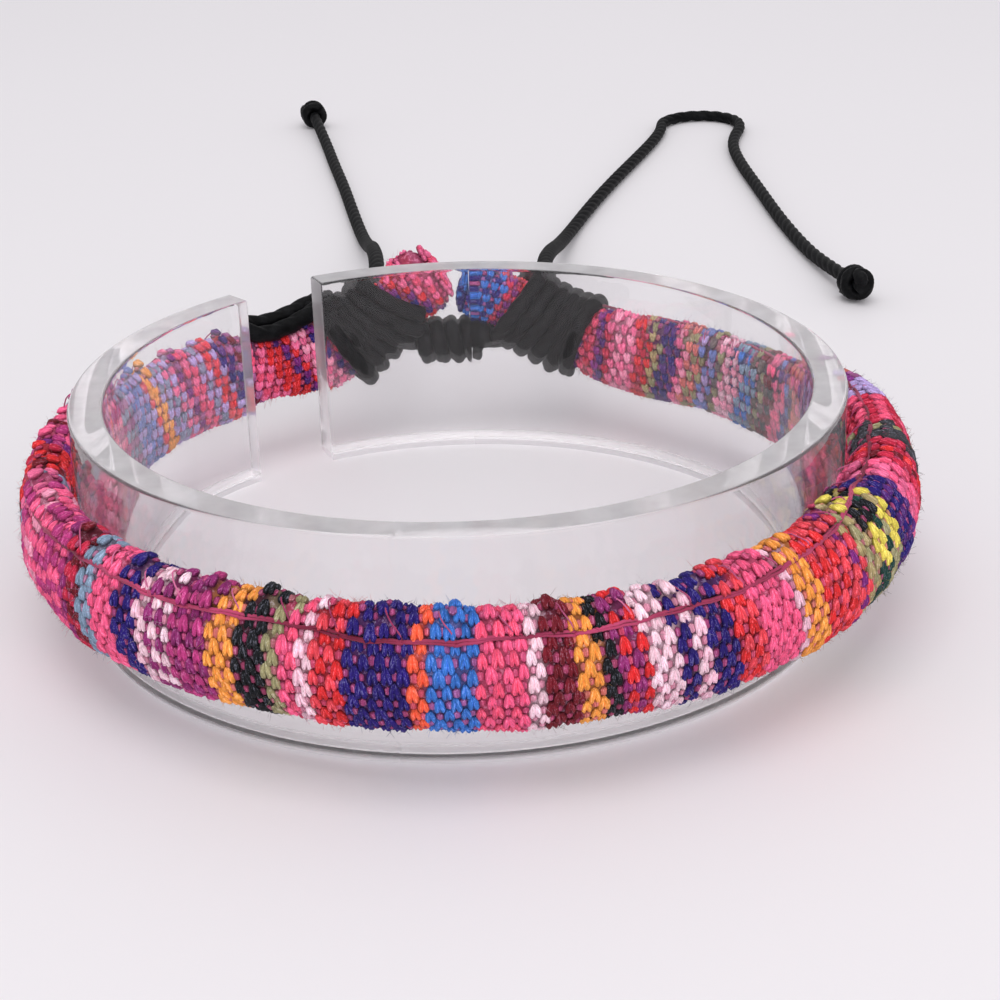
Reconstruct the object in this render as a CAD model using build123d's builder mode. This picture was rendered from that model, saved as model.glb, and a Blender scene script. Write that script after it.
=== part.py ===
from build123d import *
import os
from math import cos, radians, sin, sqrt, tan
from typing import NamedTuple

os.makedirs("parts", exist_ok=True)

# A padded band of striped woven cloth, worn round a clear display ring that lies on a table. Both ends of
# the band are whipped with waxed cord, two short cords join them through a sliding knot, and two tie cords
# lie loose on the table behind.
# Millimetres and degrees. The ring's axis is Z, the table is Z = 0, and angles are counted from +X
# towards +Y, so the front of the band is at 270 and its two ends meet near 90.

# display ring
ring_outer_radius = 32.5
ring_wall = 2.9
ring_height = 18.6
ring_gap_start = 117.0
ring_gap_end = 132.5
ring_foot_round = 0.9
ring_rim_round = 0.3

# woven band
band_thick = 5.6
band_tall = 9.8
inner_share = 0.44      # of the thickness, the part between the edge's middle and the ring
edge_round_share = 0.9  # of that part, the radius of the top and bottom edges

# cord
cord_diameter = 1.75
turn_pitch = 1.6        # the turns bed into each other a little
turn_clearance = 0.2    # from a turn to the cloth it grips
cord_radius = cord_diameter / 2
valley_height = 0.35    # of the dip between two turns, above their middles

arc_share = 0.45        # of the shorter of two runs, taken up by the arc that joins them

# the whippings, each given by the angle of its middle and its number of turns
left_whipping_angle = 104.4
right_whipping_angle = 435.2
whipping_turns = 4
steps_per_turn = 4      # sections that round one turn
bight_gap = 0.5         # degrees, from the left whipping to the bight that comes out of it

# sliding knot
knot_angle = 91.8
knot_turns = 3
knot_turn_radius = 1.4
knot_clearance = 0.25   # from the cloth above it and from the whippings beside it
knot_cord_rise = 0.1    # of the two cords above the knot's middle
knot_cord_spread = 0.79  # of each of them to its own side, away from the ring or towards it
knot_cord_tilt = 0.32   # of the outer one above that and of the inner one below it

# end knots
end_knot_turns = 3
end_knot_radius = 1.2
end_knot_pitch = 1.05

slope_step = 1.0        # degrees to each side, over which the band's direction is measured


class Section(NamedTuple):
    angle: float      # degrees
    stand_off: float  # from the ring, share of band_thick
    thick: float      # share of band_thick
    tall: float       # share of band_tall
    rise: float       # of the middle above the table, share of ring_height


band_sections = [
    Section(95.5, 0.34, 0.72, 0.72, 0.860),
    Section(98.5, 0.34, 0.78, 0.70, 0.800),
    Section(101.0, 0.38, 0.68, 0.58, 0.735),
    Section(104.4, 0.38, 0.68, 0.56, 0.656),
    Section(107.8, 0.37, 0.70, 0.58, 0.588),
    Section(112.0, 0.22, 0.80, 0.74, 0.530),
    Section(117.0, 0.10, 0.86, 0.74, 0.503),
    Section(124.0, 0.06, 0.86, 0.68, 0.495),
    Section(132.0, 0.06, 0.86, 0.80, 0.515),
    Section(150.0, 0.05, 0.82, 0.86, 0.525),
    Section(170.0, 0.05, 0.78, 0.90, 0.515),
    Section(190.0, 0.05, 0.78, 0.94, 0.510),
    Section(210.0, 0.05, 0.84, 0.96, 0.525),
    Section(226.0, 0.05, 0.90, 0.94, 0.538),
    Section(243.0, 0.05, 0.95, 0.93, 0.542),
    Section(258.0, 0.05, 0.99, 0.94, 0.534),
    Section(270.0, 0.05, 1.00, 0.95, 0.521),
    Section(285.0, 0.05, 1.00, 0.94, 0.510),
    Section(300.0, 0.05, 1.02, 0.97, 0.510),
    Section(315.0, 0.06, 1.03, 1.00, 0.520),
    Section(330.0, 0.08, 1.03, 1.00, 0.523),
    Section(345.0, 0.10, 1.00, 0.98, 0.538),
    Section(360.0, 0.10, 0.94, 0.95, 0.555),
    Section(375.0, 0.08, 0.90, 0.90, 0.550),
    Section(388.0, 0.06, 0.86, 0.82, 0.520),
    Section(405.0, 0.06, 0.86, 0.82, 0.512),
    Section(420.0, 0.08, 0.86, 0.82, 0.508),
    Section(426.5, 0.20, 0.82, 0.74, 0.518),
    Section(431.5, 0.36, 0.70, 0.56, 0.548),
    Section(435.2, 0.38, 0.68, 0.54, 0.594),
    Section(439.0, 0.38, 0.68, 0.54, 0.656),
    Section(442.5, 0.35, 0.74, 0.56, 0.712),
    Section(446.0, 0.34, 0.72, 0.54, 0.752),
    Section(449.0, 0.34, 0.66, 0.50, 0.775),
]


def band_row(angle):
    # the table's columns at any angle, smooth from row to row
    last = len(band_sections) - 1
    index = max(i for i in range(last) if i == 0 or band_sections[i].angle <= angle)
    before = band_sections[max(index - 1, 0)]
    start = band_sections[index]
    end = band_sections[index + 1]
    after = band_sections[min(index + 2, last)]
    span = end.angle - start.angle
    share = (angle - start.angle) / span
    start_weight = 2 * share**3 - 3 * share**2 + 1
    start_slope_weight = share**3 - 2 * share**2 + share
    end_slope_weight = share**3 - share**2
    values = [angle]
    for column in range(1, len(start)):
        start_slope = (end[column] - before[column]) / (end.angle - before.angle) * span
        end_slope = (after[column] - start[column]) / (after.angle - start.angle) * span
        values.append(
            start_weight * start[column]
            + (1 - start_weight) * end[column]
            + start_slope_weight * start_slope
            + end_slope_weight * end_slope
        )
    return Section(*values)


def band_middle(angle):
    row = band_row(angle)
    radius = ring_outer_radius + (row.stand_off + inner_share * row.thick) * band_thick
    return Vector(radius * cos(radians(angle)), radius * sin(radians(angle)), row.rise * ring_height)


def across_band(angle):
    # the plane square to the band: its x points away from the ring, its y up the band's height
    along = (band_middle(angle + slope_step) - band_middle(angle - slope_step)).normalized()
    outward = Vector(cos(radians(angle)), sin(radians(angle)), 0)
    outward = (outward - along * outward.dot(along)).normalized()
    return Plane(origin=band_middle(angle), x_dir=outward, z_dir=-along)


def half_sizes(angle):
    row = band_row(angle)
    inner_half = inner_share * row.thick * band_thick
    outer_half = (1 - inner_share) * row.thick * band_thick
    return inner_half, outer_half, row.tall * band_tall / 2


def over_top_edge(angle, turn, lift):
    # a point lifted off the band's rounded top edge, turned about that edge's middle away from the ring
    inner_half, _, half_tall = half_sizes(angle)
    edge_radius = edge_round_share * inner_half
    reach = edge_radius + lift
    outward = reach * sin(radians(turn))
    upward = half_tall - edge_radius + reach * cos(radians(turn))
    return across_band(angle).from_local_coords(Vector(outward, upward, 0))


def bottom_of_band(angle):
    return across_band(angle).from_local_coords(Vector(0, -half_sizes(angle)[2], 0)).Z


def side_radius(half_thick, half_tall, edge_radius):
    # the large arc that meets both edge arcs smoothly
    edge_height = half_tall - edge_radius
    return (half_thick**2 + edge_height**2 - edge_radius**2) / (2 * (half_thick - edge_radius))


def draw_band_outline(angle, grow=0.0):
    # an oval of four arcs, flatter towards the ring, grown evenly all round by grow
    inner_half, outer_half, half_tall = half_sizes(angle)
    edge_radius = edge_round_share * inner_half
    edge_height = half_tall - edge_radius
    corners = {}
    for name, side, half_thick in (("inner", -1, inner_half), ("outer", 1, outer_half)):
        reach = side_radius(half_thick, half_tall, edge_radius)
        slope = Vector(reach - half_thick, edge_height).normalized()
        corners[name] = Vector(
            side * slope.X * (edge_radius + grow),
            edge_height + slope.Y * (edge_radius + grow),
        )
    outer_top = corners["outer"]
    inner_top = corners["inner"]
    outer_bottom = Vector(outer_top.X, -outer_top.Y)
    inner_bottom = Vector(inner_top.X, -inner_top.Y)
    ThreePointArc(outer_bottom, (outer_half + grow, 0), outer_top)
    ThreePointArc(outer_top, (0, half_tall + grow), inner_top)
    ThreePointArc(inner_top, (-inner_half - grow, 0), inner_bottom)
    ThreePointArc(inner_bottom, (0, -half_tall - grow), outer_bottom)


def turn_angles(middle_angle):
    # the turns lie turn_pitch apart along the band's own slope
    two_steps = band_middle(middle_angle + slope_step) - band_middle(middle_angle - slope_step)
    pitch = turn_pitch / two_steps.length * 2 * slope_step
    first = middle_angle - pitch * (whipping_turns - 1) / 2
    return [first + pitch * index for index in range(whipping_turns)]


def whipping_rows(middle_angle):
    # the angle of each section, and how far the cord stands out there beyond its own middle
    crests = turn_angles(middle_angle)
    pitch_angle = crests[1] - crests[0]
    rows = []
    for crest in crests:
        for step in range(steps_per_turn):
            beside = step / steps_per_turn - 0.5
            rows.append((crest + beside * pitch_angle, sqrt(cord_radius**2 - (beside * turn_pitch) ** 2)))
    rows.append((crests[-1] + pitch_angle / 2, rows[0][1]))
    return rows


def wind_whipping(middle_angle):
    # turns of cord side by side round the band, hollow where the band passes
    rows = whipping_rows(middle_angle)
    with BuildPart() as whipping:
        for angle, height in rows:
            with BuildSketch(across_band(angle)):
                with BuildLine():
                    draw_band_outline(angle, turn_clearance + cord_radius + height)
                make_face()
        loft(ruled=True)
        for angle, _ in rows[::steps_per_turn]:
            with BuildSketch(across_band(angle)):
                with BuildLine():
                    draw_band_outline(angle, turn_clearance)
                make_face()
        loft(ruled=True, mode=Mode.SUBTRACT)
    return whipping.part


def draw_wound_outline(turn_radius, turns, pitch):
    # half the outline of turns side by side round an axis: x along the axis, y away from it
    start = -pitch * (turns - 1) / 2 - cord_radius
    end = -start
    valley = turn_radius + valley_height
    edges = [-pitch * (turns / 2 - index) for index in range(1, turns)]
    corners = [(start, turn_radius)] + [(edge, valley) for edge in edges] + [(end, turn_radius)]
    Line((end, 0), (start, 0))
    Line((start, 0), corners[0])
    for index in range(turns):
        crest = (-pitch * ((turns - 1) / 2 - index), turn_radius + cord_radius)
        ThreePointArc(corners[index], crest, corners[index + 1])
    Line(corners[-1], (end, 0))


def corner_radii(points):
    # each arc is as large as the shorter of its two runs allows
    radii = []
    for before, corner, after in zip(points, points[1:], points[2:]):
        run_in = corner - before
        run_out = after - corner
        turn = run_in.get_angle(run_out)
        radii.append(arc_share * min(run_in.length, run_out.length) / tan(radians(turn) / 2))
    return radii


def tube_along(points, label):
    # a cord of straight runs joined by tangent arcs
    points = [Vector(*point) for point in points]
    radii = corner_radii(points)
    with BuildPart() as tube:
        with BuildLine() as route:
            FilletPolyline(*points, radius=radii)
        with BuildSketch(Plane(origin=route.wire() @ 0, z_dir=route.wire() % 0)):
            Circle(cord_radius)
        sweep(path=route.wire())
    section = Face(Wire.make_circle(cord_radius)).area
    print(label, "length", round(route.wire().length, 1), "least radius", round(min(radii), 1))
    print(label, "radii", [round(radius, 1) for radius in radii])
    print(label, "volume over section times length", round(tube.part.volume / (section * route.wire().length), 4))
    return tube.part


def make_end_knot(points):
    # turns of cord side by side round the cord's end, seated on the tube's last face
    before_last, last = Vector(*points[-2]), Vector(*points[-1])
    along = (last - before_last).normalized()
    middle = last + along * (end_knot_pitch * (end_knot_turns - 1) / 2 + cord_radius)
    with BuildPart() as knot:
        with BuildSketch(Plane(origin=middle, x_dir=along, z_dir=along.cross(Vector(0, 0, 1)))):
            with BuildLine():
                draw_wound_outline(end_knot_radius, end_knot_turns, end_knot_pitch)
            make_face()
        revolve(axis=Axis(middle, along))
    return knot.part


# display ring: a plain wall whose foot is rounded outside, open over the gap
gap_end_plane = Plane(
    origin=(0, 0, 0),
    x_dir=(cos(radians(ring_gap_end)), sin(radians(ring_gap_end)), 0),
    z_dir=(sin(radians(ring_gap_end)), -cos(radians(ring_gap_end)), 0),
)
with BuildPart() as display_ring:
    with BuildSketch(gap_end_plane) as wall:
        with Locations((ring_outer_radius - ring_wall / 2, ring_height / 2)):
            Rectangle(ring_wall, ring_height)
        fillet(wall.vertices().group_by(Axis.Y)[0].sort_by(Axis.X)[-1], ring_foot_round)
        fillet(wall.vertices().group_by(Axis.Y)[-1], ring_rim_round)
    revolve(axis=Axis.Z, revolution_arc=360 - (ring_gap_end - ring_gap_start))

# woven band: one loft from its left end round the front to its right end
with BuildPart() as woven_band:
    for row in band_sections:
        with BuildSketch(across_band(row.angle)):
            with BuildLine():
                draw_band_outline(row.angle)
            make_face()
    loft()

left_whipping = wind_whipping(left_whipping_angle)
right_whipping = wind_whipping(right_whipping_angle)


class BightPoint(NamedTuple):
    angle: float  # degrees
    turn: float   # degrees about the band's top edge, away from the ring
    lift: float   # beyond the cord's radius and its clearance from the cloth


# cord bight: the whipping's cord laid back along the band's top and returned
bight_start = whipping_rows(left_whipping_angle)[-1][0] + bight_gap
bight_route = [
    BightPoint(bight_start, 18.0, 0.6),
    BightPoint(113.2, 24.0, 0.35),
    BightPoint(118.6, 32.0, 0.1),
    BightPoint(124.0, 37.0, 0.1),
    BightPoint(128.2, 42.0, 0.15),
    BightPoint(130.2, 1.0, 0.3),
    BightPoint(128.4, -41.0, 0.15),
    BightPoint(124.4, -34.0, 0.1),
    BightPoint(119.0, -26.0, 0.1),
    BightPoint(113.6, -20.0, 0.4),
    BightPoint(bight_start, -20.0, 0.6),
]
bight_points = [
    over_top_edge(row.angle, row.turn, cord_radius + turn_clearance + row.lift) for row in bight_route
]

# sliding knot: turns wound round two short cords that reach from whipping to whipping, hung under the
# cloth's two ends
left_stub_angle = band_sections[1].angle
right_stub_angle = band_sections[-2].angle
knot_top = min(bottom_of_band(left_stub_angle), bottom_of_band(right_stub_angle)) - knot_clearance
whipping_middles = [band_middle(left_whipping_angle), band_middle(right_whipping_angle)]
knot_distance = sum(Vector(middle.X, middle.Y).length for middle in whipping_middles) / 2
knot_middle = Vector(
    knot_distance * cos(radians(knot_angle)),
    knot_distance * sin(radians(knot_angle)),
    knot_top - knot_turn_radius - cord_radius,
)
left_face = across_band(whipping_rows(left_whipping_angle)[0][0]).offset(knot_clearance)
right_face = across_band(whipping_rows(right_whipping_angle)[-1][0]).offset(-knot_clearance)
cords_middle = Plane(origin=knot_middle + Vector(0, 0, knot_cord_rise), x_dir=(0, 1, 0), z_dir=(1, 0, 0))
with BuildPart() as sliding_knot:
    with BuildSketch(cords_middle):
        with Locations((-knot_cord_spread, -knot_cord_tilt), (knot_cord_spread, knot_cord_tilt)):
            Circle(cord_radius)
    extrude(amount=max((middle - knot_middle).length for middle in whipping_middles), both=True)
    split(bisect_by=left_face, keep=Keep.TOP)
    split(bisect_by=right_face, keep=Keep.BOTTOM)
    with BuildSketch(Plane(origin=knot_middle, x_dir=(1, 0, 0), z_dir=(0, -1, 0))):
        with BuildLine():
            draw_wound_outline(knot_turn_radius, knot_turns, turn_pitch)
        make_face()
    revolve(axis=Axis(knot_middle, (1, 0, 0)))

# tie cords: their points are chosen by hand and lie on the table beyond the first few
right_tie_points = [
    (10.4, 39.3, 11.4),
    (10.0, 47.8, 11.9),
    (9.5, 56.8, 11.3),
    (9.9, 66.6, 9.4),
    (11.3, 78.0, 6.4),
    (12.9, 89.5, 3.2),
    (14.6, 101.0, 1.0),
    (17.2, 114.5, 0.9),
    (21.2, 127.5, 0.9),
    (25.4, 140.0, 0.9),
    (28.9, 150.6, 0.9),
    (30.9, 158.2, 0.9),
    (31.4, 163.6, 0.9),
    (34.9, 167.2, 0.9),
    (39.9, 167.6, 0.9),
    (43.6, 164.2, 0.9),
    (43.9, 159.0, 0.9),
    (42.0, 152.8, 0.9),
    (40.9, 145.2, 0.9),
    (41.0, 134.5, 0.9),
    (41.8, 121.0, 0.9),
    (42.5, 107.0, 0.9),
    (43.6, 94.5, 0.9),
    (44.8, 84.4, 1.2),
    (46.6, 74.2, 2.1),
]
left_tie_points = [
    (-10.1, 39.4, 12.4),
    (-9.9, 48.3, 12.7),
    (-10.3, 57.6, 12.0),
    (-11.2, 67.5, 9.8),
    (-12.4, 78.5, 6.8),
    (-13.6, 89.5, 3.6),
    (-14.9, 101.0, 1.1),
    (-16.3, 114.5, 0.9),
    (-18.4, 128.5, 0.9),
    (-20.8, 142.5, 0.9),
    (-23.0, 156.5, 0.9),
    (-25.6, 169.0, 2.1),
]

left_cord_bight = tube_along(bight_points, "left cord bight")
right_tie_cord = tube_along(right_tie_points, "right tie cord")
left_tie_cord = tube_along(left_tie_points, "left tie cord")
right_end_knot = make_end_knot(right_tie_points)
left_end_knot = make_end_knot(left_tie_points)

pieces = {
    "display_ring": display_ring.part,
    "woven_band": woven_band.part,
    "left_whipping": left_whipping,
    "right_whipping": right_whipping,
    "left_cord_bight": left_cord_bight,
    "sliding_knot": sliding_knot.part,
    "left_tie_cord": left_tie_cord,
    "right_tie_cord": right_tie_cord,
    "left_end_knot": left_end_knot,
    "right_end_knot": right_end_knot,
}
for name, piece in pieces.items():
    piece.label = name
    export_step(piece, f"parts/{name}.step")
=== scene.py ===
import math
import random

import bpy
import numpy as np
from mathutils import Matrix, Vector


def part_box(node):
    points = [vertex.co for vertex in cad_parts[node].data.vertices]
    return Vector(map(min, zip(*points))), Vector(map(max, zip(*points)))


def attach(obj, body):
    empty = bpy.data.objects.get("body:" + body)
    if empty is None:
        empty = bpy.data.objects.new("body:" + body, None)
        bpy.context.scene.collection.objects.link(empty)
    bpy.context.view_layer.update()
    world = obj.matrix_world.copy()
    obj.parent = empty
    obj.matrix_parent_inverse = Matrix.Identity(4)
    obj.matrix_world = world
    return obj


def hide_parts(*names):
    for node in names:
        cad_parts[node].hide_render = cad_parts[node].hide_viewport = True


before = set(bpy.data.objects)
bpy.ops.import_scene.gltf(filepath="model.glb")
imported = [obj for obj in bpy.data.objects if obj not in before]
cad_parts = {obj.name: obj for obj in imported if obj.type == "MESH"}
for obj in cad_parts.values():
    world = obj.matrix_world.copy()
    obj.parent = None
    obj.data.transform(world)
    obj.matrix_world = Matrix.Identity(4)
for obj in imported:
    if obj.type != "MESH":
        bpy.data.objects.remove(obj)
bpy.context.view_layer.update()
mm = 0.001
body = "root"


# node trees, written as Python expressions

class Wire:
    # one output of a node: arithmetic on it adds Math nodes to the same tree
    def __init__(self, bench, socket):
        self.bench = bench
        self.socket = socket

    def output(self, name):
        return Wire(self.bench, self.socket.node.outputs[name])

    def __add__(self, other):
        return self.bench.maths("ADD", self, other)

    def __radd__(self, other):
        return self.bench.maths("ADD", other, self)

    def __sub__(self, other):
        return self.bench.maths("SUBTRACT", self, other)

    def __rsub__(self, other):
        return self.bench.maths("SUBTRACT", other, self)

    def __mul__(self, other):
        return self.bench.maths("MULTIPLY", self, other)

    def __rmul__(self, other):
        return self.bench.maths("MULTIPLY", other, self)

    def __truediv__(self, other):
        return self.bench.maths("DIVIDE", self, other)

    def __pow__(self, exponent):
        return self.bench.maths("POWER", self, exponent)

    def __abs__(self):
        return self.bench.maths("ABSOLUTE", self)

    def cosine(self):
        return self.bench.maths("COSINE", self)

    def between(self, low, high):
        # 0 at low, 1 at high, held there outside them
        return self.bench.node("ShaderNodeMapRange", {}, {0: self, 1: low, 2: high, 3: 0.0, 4: 1.0})


class Bench:
    # a node tree that is being wired
    def __init__(self, tree):
        self.tree = tree

    def node(self, kind, settings=None, sockets=None):
        # settings come first, then each socket gets a value or another node's output
        made = self.tree.nodes.new(kind)
        for name, value in (settings or {}).items():
            setattr(made, name, value)
        for name, value in (sockets or {}).items():
            if isinstance(value, Wire):
                self.tree.links.new(value.socket, made.inputs[name])
            else:
                made.inputs[name].default_value = value
        shown = [socket for socket in made.outputs if socket.enabled]
        return Wire(self, shown[0]) if shown else made

    def link(self, wire, into, name):
        # one more link, to a node that is already there
        self.tree.links.new(wire.socket, into.socket.node.inputs[name])

    def maths(self, operation, *values):
        return self.node("ShaderNodeMath", {"operation": operation}, dict(enumerate(values)))

    def vectors(self, operation, *values):
        return self.node("ShaderNodeVectorMath", {"operation": operation}, dict(enumerate(values)))

    def parts(self, vector):
        made = self.node("ShaderNodeSeparateXYZ", {}, {0: vector})
        return [made.output(name) for name in "XYZ"]

    def joined(self, x=0.0, y=0.0, z=0.0):
        return self.node("ShaderNodeCombineXYZ", {}, {0: x, 1: y, 2: z})

    def blend(self, first, second, share, how="MIX"):
        settings = {"data_type": "RGBA", "blend_type": how}
        made = self.node("ShaderNodeMix", settings, {0: share, 6: first, 7: second})
        return Wire(self, made.socket.node.outputs[2])


# colours and finishes

def linear(red, green, blue):
    # a colour as seen on a screen, 0 to 255, as light
    channels = []
    for value in (red, green, blue):
        share = value / 255
        channels.append(share / 12.92 if share <= 0.04045 else ((share + 0.055) / 1.055) ** 2.4)
    return (*channels, 1.0)


class Finish(Bench):
    # a material with its Principled shader ready
    def __init__(self, name, sockets):
        self.material = bpy.data.materials.new(name)
        self.material.use_nodes = True
        super().__init__(self.material.node_tree)
        self.shader = self.tree.nodes["Principled BSDF"]
        for socketName, value in sockets.items():
            self.shader.inputs[socketName].default_value = value

    def feed(self, socketName, wire):
        self.tree.links.new(wire.socket, self.shader.inputs[socketName])

    def place(self):
        return self.node("ShaderNodeTexCoord").output("Object")

    def attribute(self, name, output):
        return self.node("ShaderNodeAttribute", {"attribute_name": name}).output(output)

    def noise(self, place, scale, detail=2.0):
        return self.node("ShaderNodeTexNoise", {}, {"Vector": place, "Scale": scale, "Detail": detail})

    def mixIn(self, other, share):
        # a second shader over the first, by share
        first = Wire(self, self.shader.outputs[0])
        mixed = self.node("ShaderNodeMixShader", {}, {0: share, 1: first, 2: other})
        self.tree.links.new(mixed.socket, self.tree.nodes["Material Output"].inputs["Surface"])

    def bump(self, height, strength=1.0):
        # height in metres
        sockets = {"Height": height, "Strength": strength, "Distance": 1.0}
        self.feed("Normal", self.node("ShaderNodeBump", {}, sockets))

    def greyOf(self, shade):
        return self.node("ShaderNodeCombineColor", {}, {0: shade, 1: shade, 2: shade})

    def roughen(self, pattern, least, more):
        self.feed("Roughness", least + pattern * more)


yarnLook = {
    "base": {"Specular IOR Level": 0.28},
    "roughness": (0.5, 0.35),   # at its smoothest, and how much its pattern adds
    "fibreScale": 3.2,          # fibres across one float
    "fibreStretch": (1.0, 1.0, 0.22),
    "fibreDrift": 700.0,        # how fast the fibres change from float to float
    "fibreDepth": 0.11 * mm,
    "fibreEdges": (0.36, 0.62),
    "hairScale": 8000.0,
    "hairDepth": 0.03 * mm,
    "baseShade": 0.6,
    "fibreShade": 0.52,
    "hairShade": 0.42,
    # painted shade at a float's two ends, where it dips into the cloth
    "paintedEndShade": 0.12,           # how much darker a float's two ends are
    # painted shade in the hollows: a yarn is painted dark deep in the cloth and left lit further out
    "paintedShadeFade": (-0.25, 0.55),    # how far out of the cloth a yarn is dark and fully lit
    # what the painted hollow shade leaves of a yarn's colour
    "paintedHollowShade": 0.35,
    # painted highlights: thin glints of this grey on single fibres, over a brighter copy of the dye
    "paintedGlint": (112, 112, 126),
    "paintedGlintGain": 1.35,
    "paintedGlintEdges": (0.54, 0.61),
    "paintedGlintShare": 0.8,
    "paintedGlintMix": (0.6, 0.4),     # how far the glints follow the fibres and the hairs
}


def makeYarnFinish(name, look):
    # soft cotton: fibres along each float, with painted shade in the hollows and at each float's two ends,
    # and thin painted highlights as glints on single fibres
    finish = Finish(name, look["base"])
    colour = finish.attribute("yarnColour", "Color")
    grainPlace = finish.attribute("grainPlace", "Vector")
    outward, _, along = finish.parts(grainPlace)
    place = finish.place()
    drift = finish.vectors("MULTIPLY", place, (look["fibreDrift"],) * 3)
    strands = finish.vectors("ADD", finish.vectors("MULTIPLY", grainPlace, look["fibreStretch"]), drift)
    fibre = finish.noise(strands, look["fibreScale"], 3.0)
    hair = finish.noise(place, look["hairScale"], 3.0)
    raised = fibre.between(*look["fibreEdges"])
    # painted shade: 0 deep in the cloth's hollows, 1 where a yarn stands out and is left lit
    paintedShadeFade = outward.between(*look["paintedShadeFade"])
    lit = look["baseShade"] + raised * look["fibreShade"] + hair * look["hairShade"]
    # painted shade towards both ends of each float
    lit = lit - abs(along) ** 2.0 * look["paintedEndShade"]
    # the fibre tones, darkened by the painted hollow shade
    shade = lit * (look["paintedHollowShade"] + paintedShadeFade * (1.0 - look["paintedHollowShade"]))
    shaded = finish.blend(colour, finish.greyOf(shade), 1.0, "MULTIPLY")
    # painted highlight: a brighter, lighter copy of the dye, laid on where the glint pattern falls outside
    # the painted hollow shade
    highlightBrighter = finish.blend(colour, (*[look["paintedGlintGain"]] * 3, 1.0), 1.0, "MULTIPLY")
    paintedHighlight = finish.blend(highlightBrighter, linear(*look["paintedGlint"]), 1.0, "ADD")
    ofFibre, ofHair = look["paintedGlintMix"]
    paintedGlint = (fibre * ofFibre + hair * ofHair).between(*look["paintedGlintEdges"]) * look["paintedGlintShare"] * paintedShadeFade
    finish.feed("Base Color", finish.blend(shaded, paintedHighlight, paintedGlint))
    finish.roughen(hair, *look["roughness"])
    finish.bump(fibre * look["fibreDepth"] + hair * look["hairDepth"])
    return finish.material


cordLook = {
    "base": {"Specular IOR Level": 0.1, "Coat Roughness": 0.4},
    "roughness": (0.34, 0.3),
    "deep": (4, 4, 5),
    "worn": (22, 23, 26),
    "wornEdges": (0.15, 0.5),
    "fibreScale": 5200.0,
    "fibreDepth": 0.05 * mm,
    "waxScale": 700.0,
    "waxDepth": 0.04 * mm,
    "waxEdges": (0.5, 0.8),
    "waxCoat": 0.1,
    "bump": 0.7,
}


def makeCordFinish(name, look):
    # waxed black cord: paler where its fibres are rubbed, with a thin uneven coat of wax
    finish = Finish(name, look["base"])
    place = finish.place()
    fibre = finish.noise(place, look["fibreScale"], 4.0)
    wax = finish.noise(place, look["waxScale"], 2.0)
    rubbed = (fibre * wax).between(*look["wornEdges"])
    finish.feed("Base Color", finish.blend(linear(*look["deep"]), linear(*look["worn"]), rubbed))
    finish.roughen(wax, *look["roughness"])
    finish.feed("Coat Weight", wax.between(*look["waxEdges"]) * look["waxCoat"])
    finish.bump(fibre * look["fibreDepth"] + wax * look["waxDepth"], look["bump"])
    return finish.material


threadLook = {
    "base": {"Sheen Weight": 0.15, "Specular IOR Level": 0.4},
    "roughness": (0.5, 0.35),
    "driftScale": 160.0,
    "driftEdges": (0.35, 0.65),
    "hairScale": 9000.0,
    "hairDepth": 0.03 * mm,
    "bump": 0.7,
}


def makeThreadFinish(name, deep, worn, look):
    # sewing thread whose dye drifts along its length
    finish = Finish(name, look["base"])
    place = finish.place()
    drift = finish.noise(place, look["driftScale"], 1.0)
    hair = finish.noise(place, look["hairScale"], 2.0)
    faded = drift.between(*look["driftEdges"])
    finish.feed("Base Color", finish.blend(linear(*deep), linear(*worn), faded))
    finish.roughen(hair, *look["roughness"])
    finish.bump(hair * look["hairDepth"], look["bump"])
    return finish.material


clearLook = {
    "base": {"Transmission Weight": 1.0, "IOR": 1.34, "Specular IOR Level": 0.5, "Alpha": 0.94,
             "Coat Weight": 0.12, "Coat IOR": 1.5, "Coat Roughness": 0.03},
    "roughness": (0.015, 0.05),
    "clear": (253, 252, 253),
    "cloudy": (248, 246, 247),
    "milky": (247, 245, 248),
    "milkyRoughness": 0.3,
    "milkyGloss": 0.5,
    "flowScale": 90.0,
    "flowStretch": (1.0, 1.0, 0.35),
    "flowEdges": (0.3, 0.7),
    "flowDepth": 0.06 * mm,
    "bump": 0.5,
    "rubScale": 2600.0,
    "rubEdges": (0.45, 0.8),
    "streakScale": 240.0,
    "streakStretch": (1.0, 1.0, 0.2),
    "streakEdges": (0.3, 0.7),
    "rimLevel": (0.75, 1.0),    # how far a face has to look up to be part of the rim
    "rimMilk": 0.32,
    "rimStreaks": 0.16,
    "footMilk": 0.75,
    "footFades": (0.5 * mm, 1.0 * mm),      # heights between which the foot's milkiness ends
    "endMilk": 0.35,
    "endReach": 30 * mm,        # just inside the wall
    "endEdges": (0.7, 0.95),
}


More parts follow.
